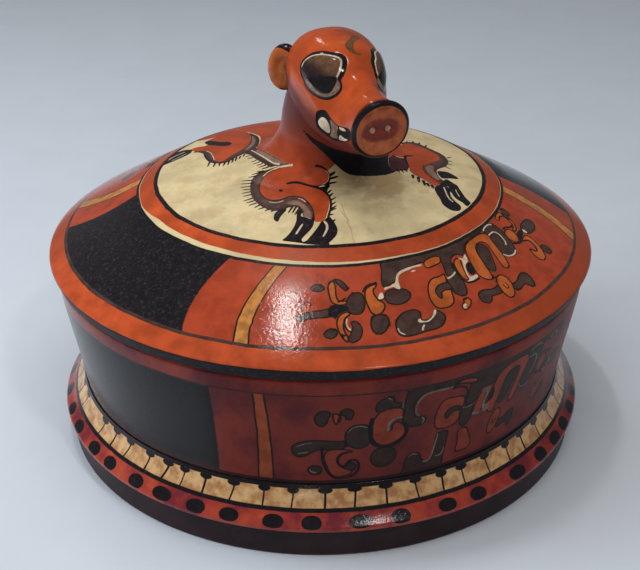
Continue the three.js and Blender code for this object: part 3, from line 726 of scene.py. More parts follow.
# The animal on the crown, traced in the photograph's own places, across and down. The lines of sight
# through these places are carried on to the clay further on.
SEEN_RED = [
    [(291, 165), (283, 166.7), (277, 168.7), (271, 171.2), (266, 174.2), (262, 177.7), (259, 181.7),
     (257.6, 186), (257.6, 190.5), (259.5, 194.5), (263, 197.5), (267, 199.3), (272, 199.8), (277, 199.1),
     (282, 197.6), (287, 196), (293, 195.5), (299, 196.8), (304, 200), (308, 205), (310.5, 210),
     (311.5, 215), (312.3, 221.3), (318, 221.8), (321.8, 220), (324, 216), (325.8, 210), (327, 204),
     (326.7, 198.5), (324.5, 194.5), (321, 191.5), (318.5, 187.5), (320, 184.3), (323, 183), (325.3, 180.5),
     (326.3, 177), (325.8, 173.5), (323.5, 170.5), (325, 168.3), (328, 166), (331, 162.7), (326, 150),
     (300, 148), (292, 158)],
    [(390, 152), (395, 147), (401, 144.1), (408, 143.7), (415, 145.7), (422, 148.4), (429, 151.5),
     (434, 154.2), (437, 157.5), (436.5, 160), (432, 161.7), (427, 163.2), (422.7, 165.5), (421.5, 168.5),
     (423.2, 172), (427, 175.3), (431, 178.3), (435.5, 181.3), (438.7, 184), (438, 186), (434, 186.2),
     (429, 183.8), (424, 180.3), (418, 177.2), (413, 174.7), (410, 172.5), (407.3, 169.5), (405.7, 165),
     (404.6, 161), (403.2, 157.3), (399, 157.6), (394, 156), (390, 154.5)],
]
SEEN_THIGH = [
    [(188, 150), (195, 147.2), (203, 146), (206, 144), (205.5, 141), (212, 138), (221, 135), (230, 132),
     (240, 130), (246, 133), (248.3, 137), (248, 141), (245, 146), (239, 150.3), (232, 154), (226, 157.8),
     (221, 160.8), (216, 161.8), (212.5, 160.2), (211, 157), (209, 153.8), (205, 151.3), (199, 150.9),
     (193, 151.4)],
]
SEEN_FUR = [
    [(290, 163.9), (283, 165.1), (276, 166.3), (270, 168), (264, 170), (258, 172.3), (253, 175.5),
     (250, 179), (248.3, 183), (247.8, 188), (248.3, 193), (250, 197.5), (253, 201.5), (257, 205),
     (262, 208), (267, 210), (272, 211), (277, 210.2), (282, 208.3), (287, 206.8), (292, 206.2),
     (296, 207.2), (299, 209.8), (300.3, 213), (300.8, 216.2), (305, 217.3), (311, 218.5), (316, 210),
     (310, 200), (300, 192), (280, 194), (266, 190), (266, 182), (274, 175), (285, 170), (292, 167)],
    [(399, 143.2), (403, 142.2), (410, 142.2), (417, 143.9), (424, 147), (431, 150.2), (438, 153.4),
     (443, 157), (446, 161), (445.5, 164.5), (442.5, 167), (438, 168.4), (435, 170), (434.6, 173),
     (437, 177), (441, 180.7), (444.5, 184.5), (446, 188), (441, 187.5), (436, 186), (430, 181), (420, 172),
     (419, 165), (428, 158), (420, 150), (405, 147)],
    [(254, 147.8), (262, 151), (270, 155), (278, 159.3), (284, 162.3), (289.5, 164.2), (284, 165.2),
     (278, 165.7), (272, 166.3), (268, 167.2), (264, 165.2), (258, 161.7), (252, 158.2), (247, 154.7),
     (243, 153.5), (247, 149)],
]
SEEN_THIGH_FUR = [
    [(240, 131), (245, 132.8), (250, 133.8), (255, 136.3), (257, 140), (256, 144), (252, 148), (248, 150.7),
     (243, 153.2), (237, 155.8), (231, 158.8), (226, 161.7), (221, 163.2), (215, 163.5), (209, 162.7),
     (205, 160.2), (202.7, 156), (200.5, 153.5), (196, 152.4), (191, 152.5), (200, 149), (220, 152),
     (238, 144), (242, 137)],
]
# A strip of the chest by the right foreleg: its fur edging is painted on the pot, and its dark purple-brown
# is partly painted shadow of the head.
SEEN_SHADE = [
    [(388.5, 152.5), (392, 155.3), (397, 157.6), (402.3, 158.5), (404, 162), (406, 167), (405.5, 170.3),
     (400, 170.7), (394, 171.3), (390.5, 171), (388, 167.5), (386.3, 162), (386.3, 156)],
]
SEEN_PALE = [
    [(283, 203.2), (287, 201.5), (292, 200.3), (297, 201.3), (302, 204.5), (306, 209), (308.5, 213.5),
     (308.8, 217.6), (302, 216.7), (301.6, 212.5), (299.5, 208.3), (295.5, 205.5), (289, 204.7)],
    [(423.5, 167.3), (427.5, 165.3), (431, 166.5), (431.5, 171), (435, 175.5), (437.5, 179.5), (433.5, 179),
     (428.5, 175), (424.5, 171)],
    [(255, 149.3), (262, 152.2), (270, 156.2), (278, 160.4), (284, 163), (279, 163.9), (272, 162.6),
     (266, 159.2), (260, 155.2), (254.5, 151.5)],
]
SEEN_THIGH_PALE = [
    [(247.5, 136), (251.5, 137), (253.2, 140.5), (251.5, 144.5), (247.5, 148), (243, 150), (246.5, 146),
     (249, 141)],
]
SEEN_INK = [
    [(273, 212.7), (277, 209.7), (283, 208.5), (284, 210), (281, 213.5), (278, 217), (276, 221),
     (274, 221.5), (271.5, 219.5), (271.5, 215.5)],
    [(296.7, 209), (299.2, 212.5), (298.7, 216), (303, 217.2), (309, 218.9), (311.5, 216), (311.7, 222),
     (310, 227), (306.5, 231.5), (302, 236), (299.3, 239.5), (300, 243), (290, 242), (280, 240.5),
     (283, 237.5), (287, 233.3), (291, 227.7), (293.8, 221), (294.3, 214.7), (295, 210.7)],
    [(318.7, 221.8), (322, 220), (326.5, 216.5), (331, 221), (333.7, 225.5), (335.2, 230), (334, 235),
     (330, 239.7), (326.7, 242.7), (325, 245.5), (300, 243.5), (304.3, 240.3), (308, 236.2), (312.3, 231),
     (316, 226)],
    [(283.5, 184.2), (285.3, 182.5), (289, 181.6), (294, 181.1), (299, 182.1), (305, 184), (311, 185.3),
     (314.5, 185.6), (317, 185.1), (321, 184.2), (324, 182.7), (326, 180), (326.8, 177), (326.6, 173.7),
     (328.3, 176), (328, 180), (327, 183.5), (327.6, 186.5), (325.6, 189), (324.6, 192), (323, 192.6),
     (319, 190.5), (313, 188.3), (307, 186.7), (301, 185), (296, 183.8), (291, 183.6), (287, 184.2)],
    [(276.8, 189.6), (279.5, 189.2), (280.5, 190.5), (279, 191.8), (276.7, 191.2)],
    [(435, 171.6), (440.6, 171.3), (446.3, 172.5), (451.3, 175), (455.9, 178.1), (454.4, 179.1),
     (450, 178.6), (445, 178.6), (441.3, 178.6), (438, 177)],
    [(432.8, 186.9), (436, 185.5), (438.5, 184), (440.5, 181), (444, 179.3), (447, 180.5), (450, 182.5),
     (455, 185.6), (457.5, 189.4), (460.6, 193.8), (463.8, 198.1), (468, 202.3), (467.5, 204.5),
     (464.7, 206.3), (460, 202.5), (455.6, 200), (451.3, 196.3), (448.4, 191.6), (448.2, 194.4),
     (450, 198.1), (453.8, 201.9), (457.5, 205), (458.9, 208), (456.6, 211), (450, 210.6), (445, 208.1),
     (440, 203.8), (438, 199.4), (434.7, 194.4), (432.5, 190)],
    [(401.3, 157.5), (401.5, 155.7), (404, 155.2), (408, 155.3), (412, 155.9), (408, 156.6), (404.8, 156.8),
     (404.5, 159.5), (406, 163.5), (407, 167.5), (405.8, 167.7), (404, 164), (402.3, 160)],
]
SEEN_INK_LINES = [
    (1.3, [(322, 191.5), (326, 195.2), (328, 199.5), (328.6, 204.5), (328, 209.5), (326.8, 213.5),
           (325.8, 217.5)]),
    (0.6, [(313, 166), (318, 166.6), (322, 168.4), (325.3, 171), (327.2, 174.5)]),
    (0.7, [(261, 178.5), (258, 182.5), (257, 187), (257.3, 191.5), (259.7, 195.5), (264, 198.6),
           (270, 200.4), (276, 200.2), (282, 198.6), (288, 196.6), (294, 196.2), (300, 197.8), (305, 201.5),
           (309, 207), (311, 212), (312, 220)]),
    (0.8, [(282, 208.6), (287, 207), (292, 206.3), (296, 207.2), (298.6, 209.6), (299.6, 213)]),
    (0.6, [(407, 169.8), (411, 173.5), (416, 176.3), (422, 179.6), (428, 183.4), (432.5, 186.7)]),
    (0.6, [(421.8, 165), (420.8, 168.7), (422.7, 172.4), (427, 176), (433, 180.2), (438, 184)]),
    (0.5, [(403, 142.4), (410, 142.4), (417, 144.1), (424, 147.2), (431, 150.4), (438, 153.6),
           (443, 157.2)]),
]
SEEN_THIGH_INK = [
    [(202.7, 142.3), (206, 140.9), (212, 141.1), (219, 142), (226, 141.8), (229.5, 143.2), (227, 145.3),
     (221, 146), (213, 145.6), (207, 145), (204, 144)],
    [(160, 164), (164, 160), (168, 156.3), (173, 153.2), (180, 150.7), (187, 149.6), (190, 150.2),
     (189, 152.6), (186, 154.6), (181, 157.1), (175, 159.7), (168, 162.6), (162, 165)],
]
SEEN_THIGH_LINES = [
    (1.1, [(202, 154.5), (204.3, 158.6), (208, 161.7), (214, 163), (221, 162.7), (226, 161.2), (232, 158),
           (238, 155), (244, 152.5), (249, 150), (254, 146.8), (256.3, 142), (255.5, 137.5), (251, 134.7),
           (245, 133.4)]),
    (0.5, [(249, 135.5), (249.5, 140), (247.5, 144.5), (243, 148.5), (237, 152), (230, 155.6),
           (224, 159.4)]),
]
SEEN_LIGHT = [
    [(299.5, 224), (300.6, 224.4), (297.6, 229.5), (294.4, 234), (293, 233.7), (296, 228.5)],
    [(321.3, 220.7), (324, 222), (325.8, 225.5), (325.7, 229), (324, 232.7), (321.5, 236.2), (320, 236.8),
     (322, 232.3), (323.4, 228.5), (323.1, 225), (321.5, 222.3)],
    [(316.5, 187), (318, 185.9), (321.5, 185.3), (322.6, 186), (320, 186.7)],
    (0.6, [(453.4, 189.7), (455, 193.1), (456.9, 196.3)]),
    (0.9, [(441.6, 187.4), (442.8, 190.3), (445, 195.4), (447.5, 199.2), (450.3, 201.6)]),
    (0.5, [(445, 186.3), (446.6, 187.6)]),
    (0.6, [(249, 150.2), (254, 152.7), (259, 155.7), (264, 158.7), (268, 161.2), (272, 163.4),
           (277, 164.2)]),
    (0.7, [(290, 165), (283, 166), (276, 167.6), (270, 169.8), (265, 172.6), (261, 176)]),
    (0.6, [(267, 201.8), (271, 202.6), (276, 202.3), (281, 200.7)]),
    (0.6, [(296, 198.3), (300, 199.6), (303, 202)]),
    (0.6, [(435.5, 170.2), (438.2, 168.8), (443, 170.2), (449, 172.8)]),
]
SEEN_THIGH_LIGHT = [
    (1.0, [(166, 160.3), (170, 157.7), (175, 155.3), (182, 152.3)]),
    (0.7, [(170, 160.5), (177, 157.2), (184, 153.7)]),
    (0.6, [(204.5, 151), (208.5, 153), (210.7, 156.5), (212, 160)]),
]
# The hairs of the fringe, each from its root to its tip.
SEEN_HAIRS = [
    (258, 172.3, 249.5, 174.7), (262, 171, 255, 171.6), (254.5, 175.7, 246, 177.5), (251.5, 180, 240, 181),
    (250, 183.3, 239, 184), (249, 186.3, 238.5, 187.5), (248.7, 189, 240, 190),
    (248.5, 191.6, 239.5, 193.5), (249, 194.5, 241, 196.5), (250.5, 198, 241.5, 201),
    (252.3, 200.5, 244, 203), (254, 203, 246.5, 205.5), (257.5, 205, 252, 207.6),
    (261.5, 207.5, 256, 209.3), (266.5, 209.3, 262.5, 210.8), (271, 210.5, 268.5, 211.8),
    (290, 207, 286, 212.7), (293.5, 207.2, 290, 213), (297, 208.3, 292.5, 214.6), (327.3, 175.5, 333, 172),
    (327, 179, 335.5, 176.5), (326.5, 183.6, 334.3, 182), (325.6, 192.8, 329, 189.7),
    (327.3, 196, 330.5, 193), (328.5, 200.3, 333.5, 197), (329, 204.8, 333.5, 201.7),
    (329, 208.6, 334, 205.6), (328.5, 210.5, 334, 208), (330.5, 221.3, 333, 219.3), (327, 215, 331, 214),
    (410.5, 174.8, 411, 178.4), (415.9, 177, 416.8, 182.2), (420.9, 180.4, 422.6, 185.4),
    (425, 183, 426.5, 186.4), (429.2, 184.8, 430.9, 188.3), (394.5, 169, 397.5, 172.7),
    (398.5, 169, 401.2, 172.7), (402.5, 168.8, 405, 172), (254.5, 160, 249, 162.2),
    (257.5, 161.7, 251, 164.2), (260.5, 163.3, 254, 165.7), (263.5, 165, 256.5, 167.2),
    (266.5, 166.8, 259.5, 169), (250.5, 157.5, 245.5, 158.7), (247.5, 155.5, 243, 157),
    (405, 142.7, 404.4, 141.2), (411, 142.5, 410.7, 141.2), (417, 144, 417.3, 142.5),
    (423.5, 146.6, 424.3, 145), (445, 158, 448.5, 157.2), (446, 161, 450, 161.3), (445.3, 164, 451, 165.2),
    (443.3, 166.6, 448.7, 169.3),
]
SEEN_THIGH_HAIRS = [
    (207.5, 162, 205.5, 166.5), (213, 163, 211, 167), (218, 163, 216.5, 166), (223, 162.5, 221, 166),
    (227, 161, 225.5, 165), (231, 159, 229.5, 162.7), (234.5, 157.5, 233, 161.2), (238.5, 156, 236.7, 159),
    (242.5, 154, 241, 156.7),
]
# The black collar under the chin, and the body's red, which is given from above as x and y.
SEEN_COLLAR = [
    (299, 129), (303, 134), (307, 139.5), (312, 144.3), (317, 148.9), (322, 153.5), (327, 158.5),
    (331, 162.5), (336, 167), (340, 170.5), (345, 173.5), (352, 175.5), (360, 176), (370, 176),
    (378, 175.5), (385, 174.5), (390, 173), (393.5, 171.5), (390.5, 170.5), (388, 167.5), (386, 162),
    (386, 156), (387, 150), (380, 151.5), (370, 154), (360, 154.3), (352, 153.7), (345, 152.3),
    (335, 149.7), (328, 147), (320, 143), (316, 141), (312, 138.7), (307, 134.8), (302, 130.3),
]
BODY_RED = [
    [(0, 96), (-20, 96), (-42, 88), (-50, 79), (-40, 74), (-27, 74), (-22.5, 70), (-20, 60), (-19.3, 50),
     (-21.5, 42), (-25.5, 32.5), (-30, 24.5), (-31.4, 15), (-31.8, 6.5), (-31.5, -6), (-29.8, -14.4),
     (-27.5, -20.3), (-24, -28), (-13, -34), (-6, -35), (10, -31), (25, -27), (35, -21), (42, -11), (45, 0),
     (40, 8), (33, 15), (30, 24.5), (25.5, 32.5), (21.5, 42), (19.3, 50), (20, 60), (22.5, 70), (27, 74),
     (40, 74), (50, 79), (42, 88), (20, 96)],
]


def mirrored(shapes):
    return [(s[0], [(-x, y) for x, y in s[1]]) if isinstance(s, tuple) else [(-x, y) for x, y in s]
            for s in shapes]


# The camera, in millimetres. The lid in the photograph sits a little to the left, and a line of sight
# through a place in it allows for that.
CAMERA_PLACE = np.array([-255.6, -631.9, 440.8])
CAMERA_TILT = math.radians(62.225)
CAMERA_TURN = math.radians(-22)
CAMERA_ROLL = math.radians(-0.3465)
LENS = 70.54
SENSOR = 36.0
PICTURE = (640, 570)
LID_OFFSET = 1.3


def camera_axes():
    level = Euler((CAMERA_TILT, 0, CAMERA_TURN)).to_matrix()
    return level @ Matrix.Rotation(CAMERA_ROLL, 3, "Z")


# Pieces of clay as one solid that lines of sight can meet.
def solid_of(*meshes):
    vertices, faces = [], []
    for mesh in meshes:
        first = len(vertices)
        vertices += spots_of(mesh).tolist()
        faces += [[first + corner for corner in face.vertices] for face in mesh.polygons]
    return BVHTree.FromPolygons(vertices, faces)


# Carries places of the picture along their lines of sight on to the clay.
def sighted(points, clay):
    axes = camera_axes()
    eye = Vector(CAMERA_PLACE) + axes.col[0] * LID_OFFSET
    reach = LENS / SENSOR * PICTURE[0]
    spots = []
    for across, down in points:
        direction = axes @ Vector(((across - PICTURE[0] / 2) / reach, (PICTURE[1] / 2 - down) / reach, -1))
        hit = clay.ray_cast(eye, direction.normalized())[0]
        if hit:
            spots.append(tuple(hit))
    return np.array(spots).reshape(-1, 3)


# Shapes traced in the picture, carried on to the clay and laid flat there.
def carried(shapes, clay, flat):
    laid = []
    for shape in shapes:
        wide, points = shape if isinstance(shape, tuple) else (None, shape)
        plan = flat(sighted(points, clay)).tolist()
        laid.append((wide, plan) if wide else plan)
    return laid


def seen_from_above(spots):
    return spots[:, :2]


# A hair tapers from its root to its tip. Those under the animal's left paw are bolder.
HAIR_HALF = 0.55
BOLD_HAIR_HALF = 0.85
BOLD_HAIRS_FROM = (408, 174)


def hairs(strokes, clay):
    laid = []
    for x0, y0, x1, y1 in strokes:
        ends = sighted([(x0, y0), (x1, y1)], clay)
        if len(ends) < 2:
            continue
        root, tip = np.array(ends[0][:2]), np.array(ends[1][:2])
        along = (tip - root) / np.linalg.norm(tip - root)
        side = np.array([-along[1], along[0]])
        bold = x0 > BOLD_HAIRS_FROM[0] and y0 > BOLD_HAIRS_FROM[1]
        side *= BOLD_HAIR_HALF if bold else HAIR_HALF
        middle = (root + tip) / 2
        rows = [root - side, middle - side, tip - side * 0.55, tip + side * 0.55, middle + side, root + side]
        laid.append([tuple(row) for row in rows])
    return laid


# The collar is laid flat round the foot of the neck: the way round, and the way up its flare.
COLLAR_RADIUS = 41
COLLAR_LEVEL = 166
COLLAR_REACH = 38


def round_neck(spots):
    radius = np.hypot(spots[:, 0], spots[:, 1])
    angle = np.arctan2(spots[:, 0], -spots[:, 1])
    return np.stack([angle * COLLAR_REACH, spots[:, 2] - COLLAR_LEVEL - (radius - COLLAR_RADIUS)], 1)


# The pattern repeats twice round the vessel. Each half is folded onto the front one.
PANEL_MIDDLE = 11.5


def folded_angle(spots):
    angle = np.degrees(np.arctan2(spots[:, 0], -spots[:, 1]))
    return PANEL_MIDDLE + (angle - PANEL_MIDDLE + 90) % 180 - 90


BAND_REACH = math.radians(1) * 130
WALL_REACH = math.radians(1) * 152
LID_SLANT = 1.16


# Everything painted on the crown, once the clay is there to carry it.
def crown_patterns(clay):
    def plan(shapes):
        return carried(shapes, clay, seen_from_above)

    thigh, thigh_fur = plan(SEEN_THIGH), plan(SEEN_THIGH_FUR)
    thigh_ink = plan(SEEN_THIGH_INK + SEEN_THIGH_LINES) + hairs(SEEN_THIGH_HAIRS, clay)
    thigh_pale, thigh_light = plan(SEEN_THIGH_PALE), plan(SEEN_THIGH_LIGHT)
    flank, flank_light = plan(SEEN_FUR[2:]), plan(SEEN_LIGHT[5:6])
    ink = plan(SEEN_INK + SEEN_INK_LINES) + hairs(SEEN_HAIRS, clay)
    return {
        "umber": plan(SEEN_FUR) + thigh_fur + mirrored(thigh_fur + flank),
        "orange": plan(SEEN_RED) + thigh + mirrored(thigh),
        "soot": ink + thigh_ink + mirrored(thigh_ink),
        "bone": plan(SEEN_LIGHT) + thigh_light + mirrored(thigh_light + flank_light),
        "pale": plan(SEEN_PALE) + thigh_pale + mirrored(thigh_pale),
        "shade": plan(SEEN_SHADE),
        "body": BODY_RED,
        "collar": [round_neck(sighted(SEEN_COLLAR, clay)).tolist()],
    }


LID_BAND = {"umber": LID_UMBER, "orange": LID_ORANGE, "curl": LID_CURLS, "bone": LID_BONE, "soot": LID_SOOT}
WALL_START = {
    "umber": WALL_UMBER, "orange": WALL_ORANGE, "curl": WALL_CURLS, "bone": WALL_BONE, "soot": WALL_SOOT,
}
WALL_BAND = {name: WALL_START[name] + on_wall(LID_BAND[name]) for name in LID_BAND}

# Where the painted fields of the lid lie, by radius.
BAND_START = 104
CROWN_END = 97.5
COLLAR_END = 62
UNDERSIDE_START = 157


# The coats on the lid's and the neck's outside, each as its depth at every spot.
def lid_coats(spots, crown):
    radius = np.hypot(spots[:, 0], spots[:, 1])
    outer = spots[:, 2] > dome_height(radius) - 0.6
    band = np.stack([folded_angle(spots) * BAND_REACH, radius * LID_SLANT], 1)
    on_band = outer & (radius > BAND_START)
    on_crown = outer & (radius < CROWN_END)
    scale = (BAND_REACH, LID_SLANT)
    coats = {}
    for name in (*LID_BAND, "pale", "shade", "body"):
        on_lid = depth_where(on_band, band, LID_BAND.get(name, []), scale)
        coats[name] = np.maximum(on_lid, depth_where(on_crown, spots[:, :2], crown.get(name, [])))
    under = np.minimum(dome_height(radius) - spots[:, 2] - 3, UNDERSIDE_START - radius)
    coats["inside"] = np.clip(under, -FAR, FAR)
    by_neck = on_crown & (radius < COLLAR_END)
    coats["collar"] = depth_where(by_neck, round_neck(spots), crown["collar"])
    return coats


def wall_coats(spots):
    outer = (np.hypot(spots[:, 0], spots[:, 1]) > BOWL_FOOT - 1) & (spots[:, 2] > FLANGE_TOP - 1)
    band = np.stack([folded_angle(spots) * WALL_REACH, spots[:, 2]], 1)
    return {name: depth_where(outer, band, shapes, (WALL_REACH, 1)) for name, shapes in WALL_BAND.items()}


# The coats that are brushed in fine lines.
FINE_COATS = ("bone", "soot")


# Splits the faces beside finely brushed lines, finer and finer, so that they stay crisp, puts the new
# vertices back on the true surface, and lays the coats. Each round splits within its reach of an edge.
def painted(mesh, coats_at, surface=None, reaches=()):
    for reach in reaches:
        coats = coats_at(spots_of(mesh))
        near = np.min([np.abs(coats[name]) for name in FINE_COATS], axis=0) < reach
        work = bmesh.new()
        work.from_mesh(mesh)
        work.verts.ensure_lookup_table()
        edges = {e for face in work.faces if any(near[v.index] for v in face.verts) for e in face.edges}
        bmesh.ops.subdivide_edges(work, edges=list(edges), cuts=1, use_grid_fill=True)
        work.to_mesh(mesh)
        work.free()
        if surface:
            move_spots(mesh, surface(spots_of(mesh)))
    for name, depth in coats_at(spots_of(mesh)).items():
        lay_coat(mesh, name, depth)
    mesh.polygons.foreach_set("use_smooth", [True] * len(mesh.polygons))


# A vertex this near to the true outside was split on it, and is put back on it.
ON_SURFACE = 0.3


def on_dome(spots):
    radius = np.hypot(spots[:, 0], spots[:, 1])
    height = dome_height(radius)
    outer = (np.abs(spots[:, 2] - height) < ON_SURFACE) & (radius < LID_RADIUS - 1.5)
    spots[outer, 2] = height[outer]
    return spots


def on_bowl(spots):
    radius = np.hypot(spots[:, 0], spots[:, 1])
    wall = wall_run(200)
    true = np.interp(spots[:, 2], wall[:, 1], wall[:, 0])
    outer = np.abs(radius - true) < ON_SURFACE
    outer &= (spots[:, 2] > FLANGE_TOP) & (spots[:, 2] < RIM_HEIGHT - 3)
    spots[outer, :2] *= (true[outer] / radius[outer])[:, None]
    return spots


# The flange's tiles and dots. Those in view are where the painter put them, and the rest keep the
# same pace with an uneven hand.
TILE_EDGES = [
    -79.2, -73.8, -68.3, -61.8, -56.5, -52.1, -46.9, -40.5, -33.9, -27.9, -21.3, -15.2, -8.7, -2.2, 3.8,
    8.8, 15.3, 21.8, 27.2, 33.5, 40.2, 47,
]
DOTS = [
    -87.5, -78.2, -71.5, -62.8, -55.7, -47.6, -40.4, -31.5, -24, -14.6, -6.5, 3.5, 10.8, 22, 30.5, 37.5,
    43.5, 50.5, 57.5,
]
TILE_FOOT = 28.7
TILE_HEAD = 37.8
DOT_HEIGHT = 22.9
TILE_COUNT = 60
DOT_COUNT = 45
FLANGE_SLANT = 1.25


# Carries a run of angles on round the vessel, up to a count, with a little unevenness.
def all_round(known, count, seed):
    rng = np.random.default_rng(seed)
    start, span = known[-1], 360 - (known[-1] - known[0])
    steps = count - len(known) + 1
    extra = start + span * np.arange(1, steps) / steps + rng.uniform(-0.6, 0.6, steps - 1)
    return sorted(list(known) + list(extra))


def flange_coats(spots):
    angle = np.degrees(np.arctan2(spots[:, 0], -spots[:, 1]))
    angle = np.where(angle < TILE_EDGES[0] - 10, angle + 360, angle)
    rng = np.random.default_rng(7)
    flat = np.stack([angle * WALL_REACH, spots[:, 2] * FLANGE_SLANT], 1)
    soot, dots = [], []
    for edge in all_round(TILE_EDGES, TILE_COUNT, 3):
        lean = rng.uniform(-0.25, 0.25) - 0.6 * math.sin(math.radians(edge))
        wide = rng.uniform(1.25, 1.65)
        drop = rng.uniform(1.8, 2.5)
        brush = rng.uniform(0.95, 1.4)
        for at in (edge, edge + 360):
            soot.append((brush, [(at + lean, TILE_HEAD + 1), (at, 33), (at - lean, TILE_FOOT)]))
            soot.append([(at - wide * 0.5, TILE_HEAD + 0.8), (at - wide, TILE_HEAD - drop * 0.35),
                         (at - wide * 0.5, TILE_HEAD - drop), (at + wide * 0.5, TILE_HEAD - drop),
                         (at + wide, TILE_HEAD - drop * 0.35), (at + wide * 0.5, TILE_HEAD + 0.8)])
    for middle in all_round(DOTS, DOT_COUNT, 5):
        wide, tall = rng.uniform(1.95, 2.45), rng.uniform(2.6, 3.1)
        for at in (middle, middle + 360):
            dots.append([(at + wide * math.cos(t), DOT_HEIGHT + tall * math.sin(t))
                         for t in np.arange(0, math.tau, math.tau / 8)])
    scale = (WALL_REACH, FLANGE_SLANT)
    return {"soot": painted_depth(flat, soot, scale), "dots": painted_depth(flat, dots, scale)}


# The head.

# Sections along the head, from its back to the disc: how far along, the top, the bottom, the width
# and how much the sides draw in above, all as shares of its length, depth and width.
HEAD_SECTIONS = np.array([
    [0, 0.35, 0.61, 0.3, 0],
    [0.04, 0.24, 0.72, 0.58, 0],
    [0.12, 0.1, 0.8, 0.77, 0],
    [0.21, 0.02, 0.85, 0.92, 0],
    [0.32, 0, 0.9, 0.99, 0],
    [0.44, 0.02, 0.955, 1, 0],
    [0.555, 0.06, 0.99, 0.95, 0.04],
    [0.64, 0.13, 1, 0.87, 0.16],
    [0.73, 0.24, 1, 0.76, 0.4],
    [0.82, 0.3, 0.985, 0.65, 0.36],
    [0.915, 0.34, 0.94, 0.58, 0.16],
    [1, 0.345, 0.9, 0.56, 0.04],
])
SNOUT_MIDDLE = HEAD_CROWN - (0.345 + 0.9) / 2 * HEAD_DEPTH


def section_at(share):
    last = len(HEAD_SECTIONS) - 1
    at = share * last
    here = min(int(at), last - 1)
    t = at - here
    p = HEAD_SECTIONS[[max(here - 1, 0), here, here + 1, min(here + 2, last)]]
    return 0.5 * (2 * p[1] + (p[2] - p[0]) * t + (2 * p[0] - 5 * p[1] + 4 * p[2] - p[3]) * t ** 2
                  + (3 * p[1] - p[0] - 3 * p[2] + p[3]) * t ** 3)


SQUARENESS = 2 / 0.84


# 0 below the first value and 1 above the second, with a smooth rise between them.
def step(value, low, high):
    t = np.clip((value - low) / (high - low), 0, 1)
    return t * t * (3 - 2 * t)


# The potter pressed the muzzle in on its left side.
LEFT_PRESS = 0.2


def left_width(place):
    return 1 - LEFT_PRESS * step(place, 0.3, 0.85)


def head_ring(section, facets):
    place, top, bottom, wide, pinch = section
    centre = HEAD_CROWN - (top + bottom) / 2 * HEAD_DEPTH
    tall = (bottom - top) / 2 * HEAD_DEPTH
    across = wide * HEAD_WIDTH / 2
    angle = np.linspace(0, math.tau, facets, endpoint=False)
    side, rise = np.cos(angle), np.sin(angle)
    swell = (np.abs(side) ** SQUARENESS + np.abs(rise) ** SQUARENESS) ** (-1 / SQUARENESS)
    side, rise = side * swell, rise * swell
    height = centre + rise * tall
    x = side * (1 - pinch * np.maximum(rise, 0)) * across
    x = np.where(x > 0, x * left_width(place), x)
    lean = (height - SNOUT_MIDDLE) * math.tan(DISC_PITCH) * place ** 3
    return np.stack([x, -HEAD_START - HEAD_LENGTH * place - lean, height], 1)


def lofted(rings, first_pole, last_pole):
    count = len(rings[0])
    vertices = np.concatenate([*rings, [first_pole], [last_pole]])
    faces = []
    start = len(rings) * count
    for side in range(count):
        after = (side + 1) % count
        faces.append((start, after, side))
        for ring in range(len(rings) - 1):
            low, high = ring * count, (ring + 1) * count
            faces.append((low + side, low + after, high + after, high + side))
        last = (len(rings) - 1) * count
        faces.append((start + 1, last + side, last + after))
    return vertices, faces


# Features of the head, traced in the photograph's own places on its right side and mirrored. The eye
# lies on a slanting plane whose axes run forward along the cheek and up over the brow.
EYE_CENTRE = np.array([-15.06, -45.36, 232.15])
EYE_FORWARD = np.array([0.359, -0.883, -0.303])
EYE_UP = np.array([0.645, 0, 0.764])
EYE_OUT = np.array([-0.675, -0.469, 0.57])
EYE_REACH = 13
EYE_RIM = [
    (297.5, 65), (299.5, 60.5), (303.5, 56.5), (308.5, 53), (314, 51.3), (321, 50.7), (328, 51.5),
    (334, 52.5), (339.5, 54), (343.5, 57), (345, 61), (344.3, 65.5), (343, 71), (341, 76), (338.5, 80),
    (339.5, 84), (339.5, 89), (337, 93.5), (333, 97), (328, 99.5), (323, 100), (317, 98.5), (311.5, 95.5),
    (306, 91), (302.5, 86), (301, 81.5), (298.8, 76.5), (297.5, 71),
]
EYE_BALL = [
    (299.5, 66.5), (302.5, 61), (307.5, 57.3), (312, 55.5), (318, 54.7), (324, 55), (331, 56.2),
    (336, 57.8), (338.7, 60.2), (339, 64), (338, 69.5), (336.5, 73.5), (335, 79), (337.5, 84), (337, 89),
    (334, 93), (329, 96), (323, 97), (317, 95.5), (312, 92.5), (307.5, 88.5), (304.5, 84), (302.5, 79),
    (300.5, 73),
]
EYE_TOP = EYE_BALL[:12] + [(334.3, 77.7)]
EYE_LID = EYE_TOP + [(328, 77.5), (320, 77.5), (312, 78), (305, 79), (302.5, 78), (300.5, 73)]
EYE_PUPIL = [
    (306, 81.5), (309, 84), (311.5, 88), (315, 91.5), (319, 93.5), (324, 94), (328, 93), (331, 90),
    (333, 86.5), (334, 83), (334.5, 78.5), (328, 77.6), (320, 77.5), (314, 77.8), (306.5, 78.8),
]
EYE_LIGHT = (0.9, EYE_TOP)
EYE_FOLD = (0.8, [(303, 79.5), (305, 79), (312, 78), (320, 77.5), (328, 77.5), (334.3, 77.7)])
COMMA = [
    (349, 37), (345, 41), (342.5, 45), (344.5, 49), (348, 52), (352, 54.3), (357, 55.3), (359.5, 55),
    (359, 53.5), (355.5, 53), (352.5, 50.5), (351, 47), (351.5, 43.5), (354, 40.5), (357.5, 38.5),
    (355, 36), (351, 35.5),
]
SMEAR = [
    (331, 30), (336, 28.8), (342, 29.2), (348, 31.5), (352.5, 35), (354, 38), (349.5, 37.5), (344, 34.5),
    (338, 32.8), (333, 32),
]
MOUTH = [
    (313, 118), (314, 112), (318, 110), (323, 110.5), (327, 116), (331, 121.5), (336, 125.5), (341, 127),
    (346, 129), (349, 135), (347, 141.5), (338, 142), (332, 140.5), (326, 137), (321, 133.5), (316, 129),
    (313.5, 124),
]
